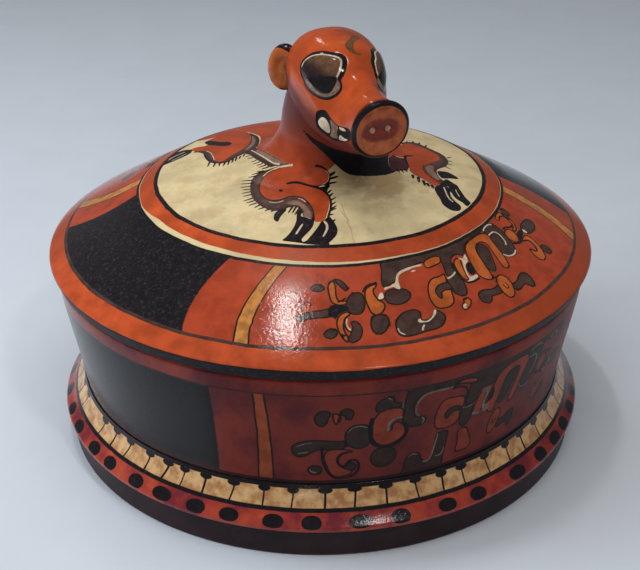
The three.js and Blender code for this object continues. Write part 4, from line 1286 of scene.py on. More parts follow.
TOOTH = [
    [(314.5, 121), (317, 117.5), (320, 117.5), (323, 120.5), (325.5, 126), (326.3, 131), (325, 133.5),
     (321, 131.5), (317, 128), (315, 125)],
    [(335.5, 127), (339, 127.5), (342, 131), (340, 131.8), (336, 130)],
    [(335.5, 136), (337, 135.5), (340, 138), (344.5, 140), (342, 141.3), (335.5, 139.8)],
]
STAINED_TOOTH = [
    [(326, 119.5), (329, 121.5), (333, 125), (334.5, 128), (333.5, 133), (334, 138.5), (330, 138.5),
     (326.5, 136), (327.5, 131), (327, 126)],
]


def eye_flat(spots):
    rel = spots - EYE_CENTRE
    return np.stack([rel @ EYE_FORWARD, rel @ EYE_UP], 1)


def side_flat(spots):
    return np.stack([-spots[:, 1], spots[:, 2]], 1)


def top_flat(spots):
    return np.stack([spots[:, 0], -spots[:, 1]], 1)


HEAD_TRACES = (
    (eye_flat, {"rim": [EYE_RIM], "ball": [EYE_BALL], "lid": [EYE_LID], "pupil": [EYE_PUPIL],
                "light": [EYE_LIGHT], "fold": [EYE_FOLD]}),
    (top_flat, {"comma": [COMMA], "smear": [SMEAR]}),
    (side_flat, {"mouth": [MOUTH], "tooth": TOOTH, "stained": STAINED_TOOTH}),
)
BROW_LEVEL = 232
CHEEK_OUT = 5
CHEEK_TOP = 220


def head_patterns(clay):
    return {name: carried(shapes, clay, flat)
            for flat, traces in HEAD_TRACES for name, shapes in traces.items()}


# The left eye is painted lower under the brow than the right one.
LEFT_EYE_LOWER = 3.0
LEFT_BROW_LOWER = 3.2


def eye_place(spots):
    left = spots[:, 0] > 0
    folded = spots.copy()
    folded[left, 0] *= -1
    flat = eye_flat(folded)
    along, up = flat[left].T
    flat[left, 1] += step(up, -3, 5) * (LEFT_EYE_LOWER + LEFT_BROW_LOWER * step(along, -6, 1))
    return flat, np.abs((folded - EYE_CENTRE) @ EYE_OUT) < EYE_REACH


def on_cheek(spots):
    return (np.abs(spots[:, 0]) > CHEEK_OUT) & (spots[:, 2] < CHEEK_TOP)


# The eyes stand a little proud inside a groove, and the mouth is pressed in with the teeth left proud.
EYE_PROUD = 0.9
EYE_GROOVE = 0.25
MOUTH_DEEP = 0.8
TOOTH_PROUD = 0.45


def model_head(mesh, patterns):
    spots = spots_of(mesh)
    normals = normals_of(mesh)
    flat, near = eye_place(spots)
    eye = depth_where(near, flat, patterns["rim"])
    cheek = on_cheek(spots)
    mouth = depth_where(cheek, side_flat(spots), patterns["mouth"])
    tooth = depth_where(cheek, side_flat(spots), patterns["tooth"] + patterns["stained"])
    swell = EYE_PROUD * step(eye, 0.6, 5)
    swell -= EYE_GROOVE * step(eye, -0.8, 0.2) * (1 - step(eye, 0.4, 1.6))
    swell += TOOTH_PROUD * step(tooth, 0, 1.2) - MOUTH_DEEP * step(mouth, 0, 1.6)
    moved = spots + normals * swell[:, None]
    moved[:, 2] = np.minimum(moved[:, 2], HEAD_CROWN - 0.03)
    move_spots(mesh, moved)


def paint_head(mesh, patterns):
    spots = spots_of(mesh)
    flat, near = eye_place(spots)
    lay_coat(mesh, "rise", (flat[:, 1] + 12) / 24)
    places = {
        eye_flat: (near, flat),
        top_flat: (spots[:, 2] > BROW_LEVEL, top_flat(spots)),
        side_flat: (on_cheek(spots), side_flat(spots)),
    }
    for laid_flat, traces in HEAD_TRACES:
        for name in traces:
            lay_coat(mesh, name, depth_where(*places[laid_flat], patterns[name]))


HEAD_RINGS = 176
CAP_SWELL = 1.1


def head_mesh():
    rings = [head_ring(section_at(t), FACETS["head"]) for t in np.linspace(0, 1, HEAD_RINGS)]
    first, last = rings[0], rings[-1]
    back, front = first.mean(0), last.mean(0)
    cap = [back + (first - back) * s + (0, CAP_SWELL * (1 - s * s), 0) for s in (0.15, 0.4, 0.65, 0.88)]
    muzzle = [front + (last - front) * s for s in (0.8, 0.4)]
    vertices, faces = lofted([*cap, *rings, *muzzle], back + (0, CAP_SWELL, 0), front)
    return finished_mesh(new_mesh("peccary_head", vertices, faces))


# The neck: rings that lean forward, and that follow the crown where the flare meets it. Each level is
# a radius and how far it lies over the crown. Between two lifts the rings turn from following to flat.
NECK_LEVELS = [
    (50.2, 0.1), (49, 0.16), (46, 0.5), (42.3, 1.2), (39, 2.2), (35.8, 3.6), (31.3, 7.5), (27.9, 13.4),
    (25.5, 20.6), (25, 33), (23.5, 44), (20, 54),
]
NECK_START = 160.7
NECK_TALL = 61.96
NECK_LEAN = 18.0
NECK_BURIED = [(44, -3), (50.4, -0.6)]
NECK_FOLLOWS = (3, 14)


def neck_ring(radius, lift):
    angle = np.linspace(0, math.tau, FACETS["neck"], endpoint=False)
    level = CROWN_BY_NECK + lift
    forward = NECK_LEAN * (level - NECK_START) / NECK_TALL
    x, y = radius * np.cos(angle), radius * np.sin(angle) - forward
    flat = step(np.full(len(angle), float(lift)), *NECK_FOLLOWS)
    height = (dome_height(np.hypot(x, y)) + lift) * (1 - flat) + level * flat
    return np.stack([x, y, height], 1)


def neck_mesh():
    levels = brushed(NECK_LEVELS, closed=False, steps=9)
    rings = [neck_ring(radius, lift) for radius, lift in (*NECK_BURIED, *levels)]
    first, last = rings[0].mean(0), rings[-1].mean(0)
    return finished_mesh(new_mesh("knob_neck", *lofted(rings, first, last)))


# The disc is turned flat, its nostrils are pressed in, and it is then set on the end of the snout.
NOSTRIL_OUT = 4.3
NOSTRIL_UP = 0.2
NOSTRIL_DEEP = 1.3


def disc_mesh():
    edge = DISC_THICKNESS / 2
    rim = DISC_RADIUS - edge * 0.8
    outline = joined(
        line((0, 0), (DISC_RADIUS - edge, 0), 8), arc((rim, edge), edge * 0.8, -60, 60, 14),
        brushed([(DISC_RADIUS - edge * 1.2, DISC_THICKNESS), (DISC_RADIUS * 0.75, DISC_THICKNESS - 0.35),
                 (DISC_RADIUS * 0.55, DISC_THICKNESS - DISC_DISH * 0.7),
                 (DISC_RADIUS * 0.3, DISC_THICKNESS - DISC_DISH * 0.92), (0.01, DISC_THICKNESS - DISC_DISH)],
                closed=False, steps=9),
        (0, DISC_THICKNESS - DISC_DISH),
    )
    mesh = turned("snout_disc", outline, FACETS["disc"], SLIPS["disc"])
    spots = spots_of(mesh)
    face = spots[:, 2] > DISC_THICKNESS / 2
    for side in (-1, 1):
        gap = np.hypot(spots[:, 0] - side * NOSTRIL_OUT, spots[:, 1] - NOSTRIL_UP)
        spots[:, 2] -= face * NOSTRIL_DEEP * (1 - step(gap, 1.2, 2.6))
    forward = np.array([0, -math.cos(DISC_PITCH), -math.sin(DISC_PITCH)])
    upward = np.array([0, -math.sin(DISC_PITCH), math.cos(DISC_PITCH)])
    lay_coat(mesh, "out", np.hypot(spots[:, 0], spots[:, 1]))
    lay_coat(mesh, "across", spots[:, 0])
    lay_coat(mesh, "up", spots[:, 1])
    end = np.array([0, -HEAD_START - HEAD_LENGTH, SNOUT_MIDDLE]) + forward * LUTING
    placed = end + spots[:, 2:] * forward + spots[:, 1:2] * upward + spots[:, :1] * np.array([1, 0, 0])
    move_spots(mesh, placed)
    return finished_mesh(mesh)


EAR_WIDE = 19.0
EAR_THICK = 7.5
EAR_TALL = 26.5
EAR_PLACE = (22.8, -6.0, 225.2)
EAR_TURN = math.radians(12)
LEFT_EAR_LOWER = 1.8
EAR_ROWS = 72
CUP_MIDDLE = 1.5
CUP_REACH = (6.6, 9.8)
CUP_DEEP = 2.1
EAR_INK = [
    [(9, 9.5), (7.4, 12), (4.3, 14), (1, 14.5), (-2, 13.5), (-4.5, 11), (-4.6, 7.5), (-2.6, 8.3),
     (-0.4, 10), (2.5, 11.3), (5.2, 11), (7.6, 8.8)],
    [(3, -11.6), (-1, -12), (-4, -11), (-6, -9), (-9, -11), (-5, -16.5), (2.5, -15.5)],
]


# An ear: a flattened ball, hollowed on its front into a cup, and black on its back and at its top.
def ear_mesh(name, side):
    angle = np.linspace(0, math.tau, FACETS["ear"], endpoint=False)
    round_ring = np.stack([np.cos(angle), np.sin(angle), np.zeros(len(angle))], 1)
    tilts = np.radians(np.linspace(-90, 90, EAR_ROWS + 2)[1:-1])
    rings = [round_ring * math.cos(tilt) + (0, 0, math.sin(tilt)) for tilt in tilts]
    vertices, faces = lofted(rings, np.array([0, 0, -1.0]), np.array([0, 0, 1.0]))
    vertices = vertices * (EAR_WIDE / 2, EAR_THICK / 2, EAR_TALL / 2)
    cup = np.hypot((vertices[:, 0] - CUP_MIDDLE) / CUP_REACH[0], vertices[:, 2] / CUP_REACH[1])
    front = step(-vertices[:, 1], 0, 2)
    vertices[:, 1] += front * CUP_DEEP * (1 - step(cup, 0.25, 1.05))
    behind = np.minimum(vertices[:, 1] - 0.6, vertices[:, 2] + 4)
    ink = np.maximum(painted_depth(vertices[:, [0, 2]], EAR_INK), behind)
    cosine, sine = math.cos(EAR_TURN), math.sin(EAR_TURN)
    turned_x = vertices[:, 0] * cosine - vertices[:, 1] * sine
    turned_y = vertices[:, 0] * sine + vertices[:, 1] * cosine
    placed = np.stack([turned_x, turned_y, vertices[:, 2]], 1) + EAR_PLACE
    placed[:, 0] *= side
    placed[:, 2] -= LEFT_EAR_LOWER * (side > 0)
    mesh = new_mesh(name, placed, faces)
    lay_coat(mesh, "cup", np.where(front > 0.5, cup, 2))
    lay_coat(mesh, "ink", ink)
    return finished_mesh(mesh)


# Materials. Every pattern is laid on the clay in millimetres from the vessel's own centre.

def new_slip(name):
    material = bpy.data.materials.new(name)
    material.use_nodes = True
    tree = material.node_tree
    tree.nodes.clear()
    shader = add_node(tree, "ShaderNodeBsdfPrincipled")
    add_node(tree, "ShaderNodeOutputMaterial", {"Surface": shader.outputs[0]})
    place = add_node(tree, "ShaderNodeTexCoord").outputs["Object"]
    place = add_node(tree, "ShaderNodeVectorMath", {0: place, "Scale": 1000.0}, operation="SCALE").outputs[0]
    return material, tree, shader, place


def noise(tree, place, size, detail=3.0, rough=0.55):
    return add_node(tree, "ShaderNodeTexNoise", {
        "Vector": place, "Scale": 1.0 / size, "Detail": detail, "Roughness": rough,
    }).outputs[0]


# A wavering number round nought, as wide as asked.
def waver(tree, place, size, wide):
    return scaled(tree, noise(tree, place, size, 2.0), 2 * wide, -wide)


def over(tree, mask, under, top):
    mix = add_node(tree, "ShaderNodeMix", data_type="RGBA")
    for key, value in ((0, mask), (6, under), (7, top)):
        if isinstance(value, bpy.types.NodeSocket):
            tree.links.new(value, mix.inputs[key])
        elif isinstance(value, tuple):
            mix.inputs[key].default_value = (*value, 1.0)
        else:
            mix.inputs[key].default_value = value
    return mix.outputs[2]


# 0 at the first value and 1 at the second, and level beyond both.
def ramp(tree, value, low, high):
    return add_node(tree, "ShaderNodeMapRange", {
        "Value": value, "From Min": low, "From Max": high,
    }, interpolation_type="SMOOTHSTEP").outputs[0]


def coat(tree, name):
    return add_node(tree, "ShaderNodeAttribute", attribute_name=name).outputs["Fac"]


# Where a coat of slip covers the clay, with the brush's soft, uneven edge.
def covers(tree, depth, edge=0.0, soft=0.18):
    return ramp(tree, depth, edge - soft, edge + soft)


# Lays one slip over another where a coat of it lies on the clay.
def laid_on(tree, under, name, slip, wave=0.0, edge=0.0, soft=0.18):
    depth = plus(tree, coat(tree, name), wave)
    return over(tree, covers(tree, depth, edge, soft), under, slip)


LINE_SOFT = 0.16


# A brush line along a coat's edge.
def lines(tree, depth, half):
    return ramp(tree, less(tree, half, maths(tree, "ABSOLUTE", depth)), -LINE_SOFT, LINE_SOFT)


# One slip's colour with its pooling, streaks and stains.
def mottled(tree, place, colour, dark, light, size=9.0):
    cloud = noise(tree, place, size, 5.0, 0.6)
    fine = noise(tree, place, size / 9, 3.0, 0.6)
    shade = over(tree, ramp(tree, cloud, 0.35, 0.62), dark, colour)
    shade = over(tree, times(tree, ramp(tree, cloud, 0.6, 0.78), 0.7), shade, light)
    return over(tree, times(tree, ramp(tree, fine, 0.55, 0.72), 0.25), shade, dark)


def shaded(colour, factor):
    return tuple(min(channel * factor, 1) for channel in colour)


# A slip that pools and thins to shades of its own colour.
def shaded_slip(tree, place, base, dark, light, size):
    return mottled(tree, place, base, shaded(base, dark), shaded(base, light), size)


def small_slip(tree, place, name):
    return mottled(tree, place, *SMALL_SLIPS[name])


# The vessel's common slips, darker by a factor where shade is painted into them, as on the wall.
def slips(tree, place, shade_factor=1.0):
    sorts = {
        "red": (RED_SLIP, 0.72, 1.18, 14), "panel": (PANEL_RED, 0.72, 1.2, 12),
        "orange": (ORANGE_SLIP, 0.66, 1.25, 8), "amber": (AMBER_SLIP, 0.6, 1.2, 5),
        "cream": (CREAM_SLIP, 0.8, 1.1, 22), "umber": (UMBER_SLIP, 0.6, 1.5, 7),
        "black": (BLACK_SLIP, 0.7, 1.9, 4), "bone": (BONE_SLIP, 0.7, 1.1, 2), "ink": (INK_LINE, 0.6, 1.8, 3),
    }
    tints = {}
    for name, (colour, dark, light, size) in sorts.items():
        tints[name] = shaded_slip(tree, place, shaded(colour, shade_factor), dark, light, size)
    return tints


# How deep the burnishing strokes are in millimetres.
STROKE_DEPTH = 0.06


# Burnished slip: a soft gloss that is uneven with wear, over a skin of fine burnishing strokes. It is
# matt where the mask says so.
def burnish(tree, shader, place, colour, gloss, shine=0.5, matt=0.0):
    wear = noise(tree, place, 7, 4.0, 0.65)
    rough = scaled(tree, wear, 0.14, gloss - 0.07)
    rough = plus(tree, rough, times(tree, matt, 0.35))
    tree.links.new(colour, shader.inputs["Base Color"])
    tree.links.new(rough, shader.inputs["Roughness"])
    level = times(tree, shine, scaled(tree, matt, -0.75, 1.0))
    tree.links.new(level, shader.inputs["Specular IOR Level"])
    skin = plus(tree, noise(tree, place, 6, 4.0, 0.6), times(tree, noise(tree, place, 1.8), 1.4))
    raised = add_node(tree, "ShaderNodeBump", {
        "Height": skin, "Strength": 1.0, "Distance": STROKE_DEPTH * MM,
    })
    tree.links.new(raised.outputs[0], shader.inputs["Normal"])


# Where the painted rings on the lid start and end, by radius.
CROWN_INK = (94.6, 97.0)
RING_INK = (105.8, 107.4)
EDGE_INK = (149.1, 150.8)


def radius_of(tree, place):
    flat = add_node(tree, "ShaderNodeVectorMath", {0: place, 1: (1, 1, 0)}, operation="MULTIPLY").outputs[0]
    return add_node(tree, "ShaderNodeVectorMath", {0: flat}, operation="LENGTH").outputs["Value"]


def turn_of(tree, split):
    return maths(tree, "ARCTAN2", split["X"], times(tree, split["Y"], -1.0))


# The place's parts, and its angle from the animal's front in degrees, folded like the patterns.
def angle_of(tree, place):
    split = parts_of(tree, place)
    turn = turn_of(tree, split)
    degrees = times(tree, turn, 180 / math.pi)
    away = less(tree, degrees, PANEL_MIDDLE)
    folded = plus(tree, maths(tree, "WRAP", away, 90.0, -90.0), PANEL_MIDDLE)
    return split, folded


# 1 between a low and a high value and 0 outside them, with soft edges.
def between(tree, value, low, high, soft=0.2):
    return times(tree, ramp(tree, less(tree, value, low), -soft, soft),
                 ramp(tree, less(tree, high, value), -soft, soft))


# The value that a straight slanting edge has at each place, from two of its points.
def slant(tree, at, first, second):
    lean = (second[1] - first[1]) / (second[0] - first[0])
    return scaled(tree, at, lean, first[1] - lean * first[0])


# The painted forms of a band, in the order that the brush laid them.
def painted_forms(tree, place, colour, tints, outline):
    wave = waver(tree, place, 3.0, 0.25)
    for name, tint, width in (("umber", "umber", 1), ("orange", "orange", 1), ("curl", "umber", 0.85)):
        depth = plus(tree, coat(tree, name), wave)
        colour = over(tree, covers(tree, depth), colour, tints[tint])
        colour = over(tree, lines(tree, depth, outline * width), colour, tints["ink"])
    colour = laid_on(tree, colour, "bone", tints["bone"], waver(tree, place, 1.5, 0.12))
    return laid_on(tree, colour, "soot", tints["black"], waver(tree, place, 1.5, 0.15))


# The cream with its brown stains, thickest in front of the throat, and a fine old crack that forks.
STAIN_MIDDLE = (16, -44, 165)
STAIN_REACH = (34, 8)
CRACKS = ((-11.8, -0.19, -95, -58), (-13.5, -0.1, -84, -66))
CRACK_MIDDLE = -60.0


def stained_cream(tree, place, cream):
    away = add_node(tree, "ShaderNodeVectorMath", {0: place, 1: STAIN_MIDDLE}, operation="DISTANCE")
    near = ramp(tree, away.outputs["Value"], *STAIN_REACH)
    cloud = noise(tree, place, 15, 5.0, 0.62)
    stain = ramp(tree, plus(tree, cloud, times(tree, near, 0.15)), 0.5, 0.66)
    strong = scaled(tree, near, 0.36, 0.3)
    colour = over(tree, times(tree, stain, strong), cream, STAINED_CREAM)
    split = parts_of(tree, place)
    along = split["Y"]
    for start, lean, low, high in CRACKS:
        across = scaled(tree, less(tree, along, CRACK_MIDDLE), -lean, start)
        off = plus(tree, less(tree, split["X"], across), waver(tree, place, 7, 1.6))
        thin = ramp(tree, maths(tree, "ABSOLUTE", off), 0.45, 0.1)
        held = times(tree, thin, between(tree, along, low, high, 3.0))
        colour = over(tree, times(tree, held, 0.55), colour, STAINED_CREAM)
    return colour


# The crown and the neck: cream, with the animal's legs, their edging of fur and the red of its body.
# Above its foot the neck is red all round.
NECK_RED_FROM = 177.5


def crown_colour(tree, place, tints, height=None):
    wave = waver(tree, place, 2.5, 0.18)
    fine = waver(tree, place, 1.2, 0.1)
    fur = shaded_slip(tree, place, FUR_SLIP, 0.6, 1.4, 5)
    fur = over(tree, ramp(tree, coat(tree, "umber"), 1.2, 3.6), shaded(FUR_SLIP, 0.5), fur)
    pale = shaded_slip(tree, place, PALE_FUR, 0.7, 1.2, 4)
    # The chest strip's dark purple-brown, partly painted shadow of the head.
    shade = shaded_slip(tree, place, CHEST_SLIP_AND_SHADE, 0.7, 1.3, 5)
    cream = stained_cream(tree, place, tints["cream"])
    colour = laid_on(tree, cream, "umber", fur, wave)
    colour = laid_on(tree, colour, "pale", pale, wave, soft=0.6)
    colour = laid_on(tree, colour, "shade", shade, wave)
    red = plus(tree, larger(tree, coat(tree, "orange"), coat(tree, "body")), wave)
    if height:
        red = larger(tree, red, less(tree, height, NECK_RED_FROM))
    colour = over(tree, covers(tree, red), colour, tints["red"])
    colour = laid_on(tree, colour, "soot", tints["black"], fine, soft=0.14)
    colour = laid_on(tree, colour, "bone", tints["bone"], fine, soft=0.14)
    return laid_on(tree, colour, "collar", tints["black"], wave)


# The panels that go round the lid and the wall: black, or red between two slanting edges, with an
# amber stripe near each end.
def panel_colour(tree, place, angle, at, edges, tints, reach, bulge):
    share = maths(tree, "DIVIDE", less(tree, at, reach[0]), reach[1] - reach[0], clamp=True)
    bow = times(tree, times(tree, share, less(tree, 1.0, share)), 4 * bulge)
    side = scaled(tree, ramp(tree, angle, PANEL_MIDDLE - 1, PANEL_MIDDLE + 1), -2.0, 1.0)
    bent = plus(tree, angle, waver(tree, place, 6.0, 0.2))
    bent = plus(tree, bent, times(tree, side, bow))
    left, right, first_stripe, second_stripe = edges
    red = between(tree, bent, slant(tree, at, *left), slant(tree, at, *right))
    colour = over(tree, red, tints["black"], tints["panel"])
    for stripe in (first_stripe, second_stripe):
        low, high = slant(tree, at, *stripe[0]), slant(tree, at, *stripe[1])
        colour = over(tree, between(tree, bent, low, high), colour, tints["amber"])
        for edge in (low, high):
            off = maths(tree, "ABSOLUTE", less(tree, bent, edge))
            colour = over(tree, ramp(tree, off, 0.28, 0.12), colour, tints["ink"])
    return colour


# The edges of the red panel and of its two stripes: an angle at each of two places.
LID_EDGES = (
    ((106, -48.2), (149, -50)), ((107, 74.5), (149, 71)),
    (((107, -34.7), (149, -39)), ((107, -31.2), (149, -36))),
    (((107, 61.5), (149, 56.3)), ((107, 66.5), (149, 60.5))),
)
WALL_EDGES = (
    ((42, -43.9), (100, -43.5)), ((42, 72), (100, 72)),
    (((42, -35.2), (100, -34.8)), ((42, -32), (100, -32.7))),
    (((42, 60), (100, 60)), ((42, 62.3), (100, 62.3))),
)

# The lid's panel by radius and its bow in degrees, the crown's edge, and where the rim is darkened by
# painted shade, the ring is red, the cream line swells and the gloss is dull, by angle or by radius.
LID_PANEL = (107, 149)
LID_BOW = 2.2
CROWN_EDGE = 100.0
RIM_SHADE = (15, 80, 18.0)
RED_RING = (-25, 66, 35.0)
CREAM_SWELLS = ((30, -70), (84, 101))
DULL_RING = (126, 108)


def lid_slip():
    material, tree, shader, place = new_slip("lid slip")
    tints = slips(tree, place)
    speck = times(tree, ramp(tree, noise(tree, place, 1.8, 4.0), 0.5, 0.75), 0.42)
    tints["black"] = over(tree, speck, tints["black"], SPECK_GREY)
    split, angle = angle_of(tree, place)
    radius = radius_of(tree, place)
    bent = plus(tree, radius, waver(tree, place, 26, 0.9))
    bent = plus(tree, bent, waver(tree, place, 4, 0.15))
    band = panel_colour(tree, place, angle, radius, LID_EDGES, tints, LID_PANEL, LID_BOW)
    band = painted_forms(tree, place, band, tints, 0.45)
    rim = mottled(tree, place, RIM_SLIP, shaded(RIM_SLIP, 0.7), RIM_LIGHT, 15)
    # Painted shade: the rim is darker between two angles on each half of the lid.
    rim = over(tree, times(tree, between(tree, angle, *RIM_SHADE), 0.85), rim, shaded(RIM_SLIP, 0.6))
    crown = crown_colour(tree, place, tints)
    colour = over(tree, covers(tree, less(tree, bent, CROWN_EDGE)), crown, band)
    ring = over(tree, between(tree, angle, *RED_RING), rim, tints["red"])
    colour = over(tree, between(tree, bent, CROWN_INK[0], RING_INK[0]), colour, ring)
    colour = over(tree, between(tree, bent, *CROWN_INK), colour, tints["black"])
    thick = larger(tree, *(ramp(tree, angle, *swell) for swell in CREAM_SWELLS))
    start = scaled(tree, thick, -2.4, RING_INK[0] - 0.25)
    start = plus(tree, start, waver(tree, place, 30, 0.5))
    colour = over(tree, between(tree, bent, start, RING_INK[0] + 0.2), colour, tints["cream"])
    colour = over(tree, between(tree, bent, *RING_INK), colour, tints["black"])
    colour = over(tree, covers(tree, less(tree, bent, EDGE_INK[1])), colour, rim)
    colour = over(tree, between(tree, bent, *EDGE_INK), colour, tints["umber"])
    height = plus(tree, split["Z"], waver(tree, place, 12, 0.3))
    lip = covers(tree, less(tree, LIP_TOP - 0.4, height))
    colour = over(tree, lip, colour, tints["black"])
    colour = laid_on(tree, colour, "inside", tints["red"])
    dulled = times(tree, ramp(tree, bent, *DULL_RING), 0.65)
    burnish(tree, shader, place, colour, 0.12, 0.42, larger(tree, lip, dulled))
    return material


# The wall is black below its band. Its panel has its heights and its bow, and is worn dull.
WALL_FOOT_LINE = 42.6
WALL_REACHES = (42, 100)
WALL_BOW = -0.3
WORN_WALL = (-44, 72, 4.0)


def wall_slip():
    material, tree, shader, place = new_slip("bowl slip")
    # Every slip on the wall is a darker copy: painted shade.
    tints = slips(tree, place, WALL_SHADE)
    for name, base in (("orange", WALL_ORANGE_SLIP), ("amber", WALL_STRIPE)):
        tints[name] = shaded_slip(tree, place, base, 0.7, 1.3, 9)
    tints["panel"] = mottled(tree, place, WALL_PANEL, WALL_DUSK, shaded(WALL_PANEL, 1.35), 30)
    tints["red"] = mottled(tree, place, shaded(WALL_PANEL, 1.15), WALL_DUSK, shaded(WALL_PANEL, 1.6), 30)
    tints["bone"] = small_slip(tree, place, "wall bone")
    split, angle = angle_of(tree, place)
    height = plus(tree, split["Z"], waver(tree, place, 24, 0.5))
    colour = panel_colour(tree, place, angle, split["Z"], WALL_EDGES, tints, WALL_REACHES, WALL_BOW)
    colour = painted_forms(tree, place, colour, tints, 0.5)
    colour = over(tree, covers(tree, less(tree, height, WALL_TOP_LINE)), colour, tints["red"])
    line_edges = (WALL_TOP_LINE - 0.4, WALL_TOP_LINE + 0.6)
    colour = over(tree, between(tree, height, *line_edges), colour, tints["umber"])
    colour = over(tree, covers(tree, less(tree, WALL_FOOT_LINE, height)), colour, tints["black"])
    halfway = scaled(tree, split["Z"], (BOWL_RIM - BOWL_FOOT) / RIM_HEIGHT, BOWL_FOOT - BOWL_WALL / 2)
    within = ramp(tree, less(tree, halfway, radius_of(tree, place)), -0.5, 0.5)
    above_foot = ramp(tree, split["Z"], FOOT_HEIGHT + 0.5, FOOT_HEIGHT + 0.9)
    clay = shaded_slip(tree, place, BARE_CLAY, 0.7, 1.2, 12)
    colour = over(tree, times(tree, within, above_foot), colour, tints["red"])
    colour = over(tree, less(tree, 1.0, above_foot), colour, clay)
    worn = times(tree, between(tree, angle, *WORN_WALL), 0.65)
    burnish(tree, shader, place, colour, 0.17, 0.25, worn)
    return material


# Painted shade on the flange's right side: where its band and tiles darken, in radians from the front, and
# how softly it ends.
FLANGE_SHADE = (0.62, 2.4, 0.37)


def flange_slip():
    material, tree, shader, place = new_slip("flange slip")
    tints = slips(tree, place)
    split = parts_of(tree, place)
    height = plus(tree, split["Z"], waver(tree, place, 14, 0.25))
    turn = turn_of(tree, split)
    # Painted shade: the tiles and the edge band go darker on the flange's right side.
    flange_shade = between(tree, plus(tree, turn, waver(tree, place, 20, 0.1)), *FLANGE_SHADE)
    tile = over(tree, times(tree, flange_shade, 0.3), small_slip(tree, place, "tile"), FLANGE_SHADE_TILE)
    tile = laid_on(tree, tile, "soot", tints["black"], waver(tree, place, 1.5, 0.2))
    edge = over(tree, times(tree, flange_shade, 0.7), small_slip(tree, place, "edge band"), FLANGE_SHADE_BAND)
    edge = laid_on(tree, edge, "dots", tints["black"], waver(tree, place, 2.0, 0.3))
    colour = over(tree, covers(tree, less(tree, height, TILE_FOOT - 0.9)), edge, tile)
    colour = over(tree, between(tree, height, TILE_FOOT - 1.9, TILE_FOOT), colour, tints["black"])
    colour = over(tree, covers(tree, less(tree, height, TILE_HEAD)), colour, tints["black"])
    burnish(tree, shader, place, colour, 0.17, 0.34)
    return material


def plain_slip(name, base, size, gloss, shine):
    material, tree, shader, place = new_slip(name)
    colour = shaded_slip(tree, place, base, 0.6, 1.4, size)
    burnish(tree, shader, place, colour, gloss, shine)
    return material


# Painted shade: the neck darkens upwards between two heights under the head, and the jaw downwards between
# two slanting levels.
NECK_SHADE = (172, 206)
JAW_SHADE = (235, 226)


def neck_slip():
    material, tree, shader, place = new_slip("neck slip")
    tints = slips(tree, place)
    height = parts_of(tree, place)["Z"]
    # Painted shade under the head: the neck's red goes darker and purple upwards.
    high = ramp(tree, plus(tree, height, waver(tree, place, 14, 6.0)), *NECK_SHADE)
    tints["red"] = over(tree, scaled(tree, high, 0.75, 0.12), tints["red"], CHEST_SLIP_AND_SHADE)
    colour = crown_colour(tree, place, tints, height)
    burnish(tree, shader, place, colour, 0.24, 0.12)
    return material


def head_slip():
    material, tree, shader, place = new_slip("head slip")
    tints = slips(tree, place)
    wave = waver(tree, place, 2.0, 0.15)
    olive, ash = small_slip(tree, place, "olive"), small_slip(tree, place, "ash")
    pale = shaded_slip(tree, place, BONE_SLIP, 0.6, 1.1, 2)
    head = mottled(tree, place, HEAD_SLIP, shaded(HEAD_SLIP, 0.74), HEAD_LIGHT, 16)
    split = parts_of(tree, place)
    height = plus(tree, split["Z"], waver(tree, place, 12, 3.0))
    # Painted shade: the jaw goes dark purple downwards.
    jaw_shade = ramp(tree, scaled(tree, split["Y"], -0.36, height), *JAW_SHADE)
    head = over(tree, times(tree, jaw_shade, 0.85), head, CHEST_SLIP_AND_SHADE)
    smear = times(tree, covers(tree, coat(tree, "smear"), 0.4, 0.9), 0.5)
    colour = over(tree, smear, head, olive)
    colour = laid_on(tree, colour, "comma", olive, wave)
    rise = ramp(tree, coat(tree, "rise"), 0.35, 0.75)
    lid = over(tree, rise, small_slip(tree, place, "dusk"), small_slip(tree, place, "brow"))
    colour = laid_on(tree, colour, "rim", tints["black"], wave)
    colour = laid_on(tree, colour, "ball", ash)
    colour = laid_on(tree, colour, "lid", lid)
    colour = laid_on(tree, colour, "pupil", tints["black"])
    colour = laid_on(tree, colour, "light", pale, soft=0.14)
    colour = laid_on(tree, colour, "mouth", tints["black"], wave)
    colour = laid_on(tree, colour, "stained", ash, edge=0.3)
    colour = laid_on(tree, colour, "tooth", pale, edge=0.15)
    colour = laid_on(tree, colour, "fold", tints["black"], soft=0.14)
    matt = larger(tree, covers(tree, coat(tree, "mouth")), times(tree, jaw_shade, 0.85))
    burnish(tree, shader, place, colour, 0.13, 0.32, matt)
    return material


def ear_slip():
    material, tree, shader, place = new_slip("ear slip")
    tints = slips(tree, place)
    hollow = ramp(tree, coat(tree, "cup"), 0.95, 0.55)
    colour = over(tree, scaled(tree, hollow, 0.2, 0.15), tints["orange"], tints["amber"])
    colour = laid_on(tree, colour, "ink", tints["black"], waver(tree, place, 2.5, 0.3), soft=0.25)
    burnish(tree, shader, place, colour, 0.18)
    return material


# The reddened middle of the disc, as its half width and half height, and where the black edge starts.
MIDDLE_REACH = (9.5, 6.0)
DISC_INK = (13.9, 14.3)


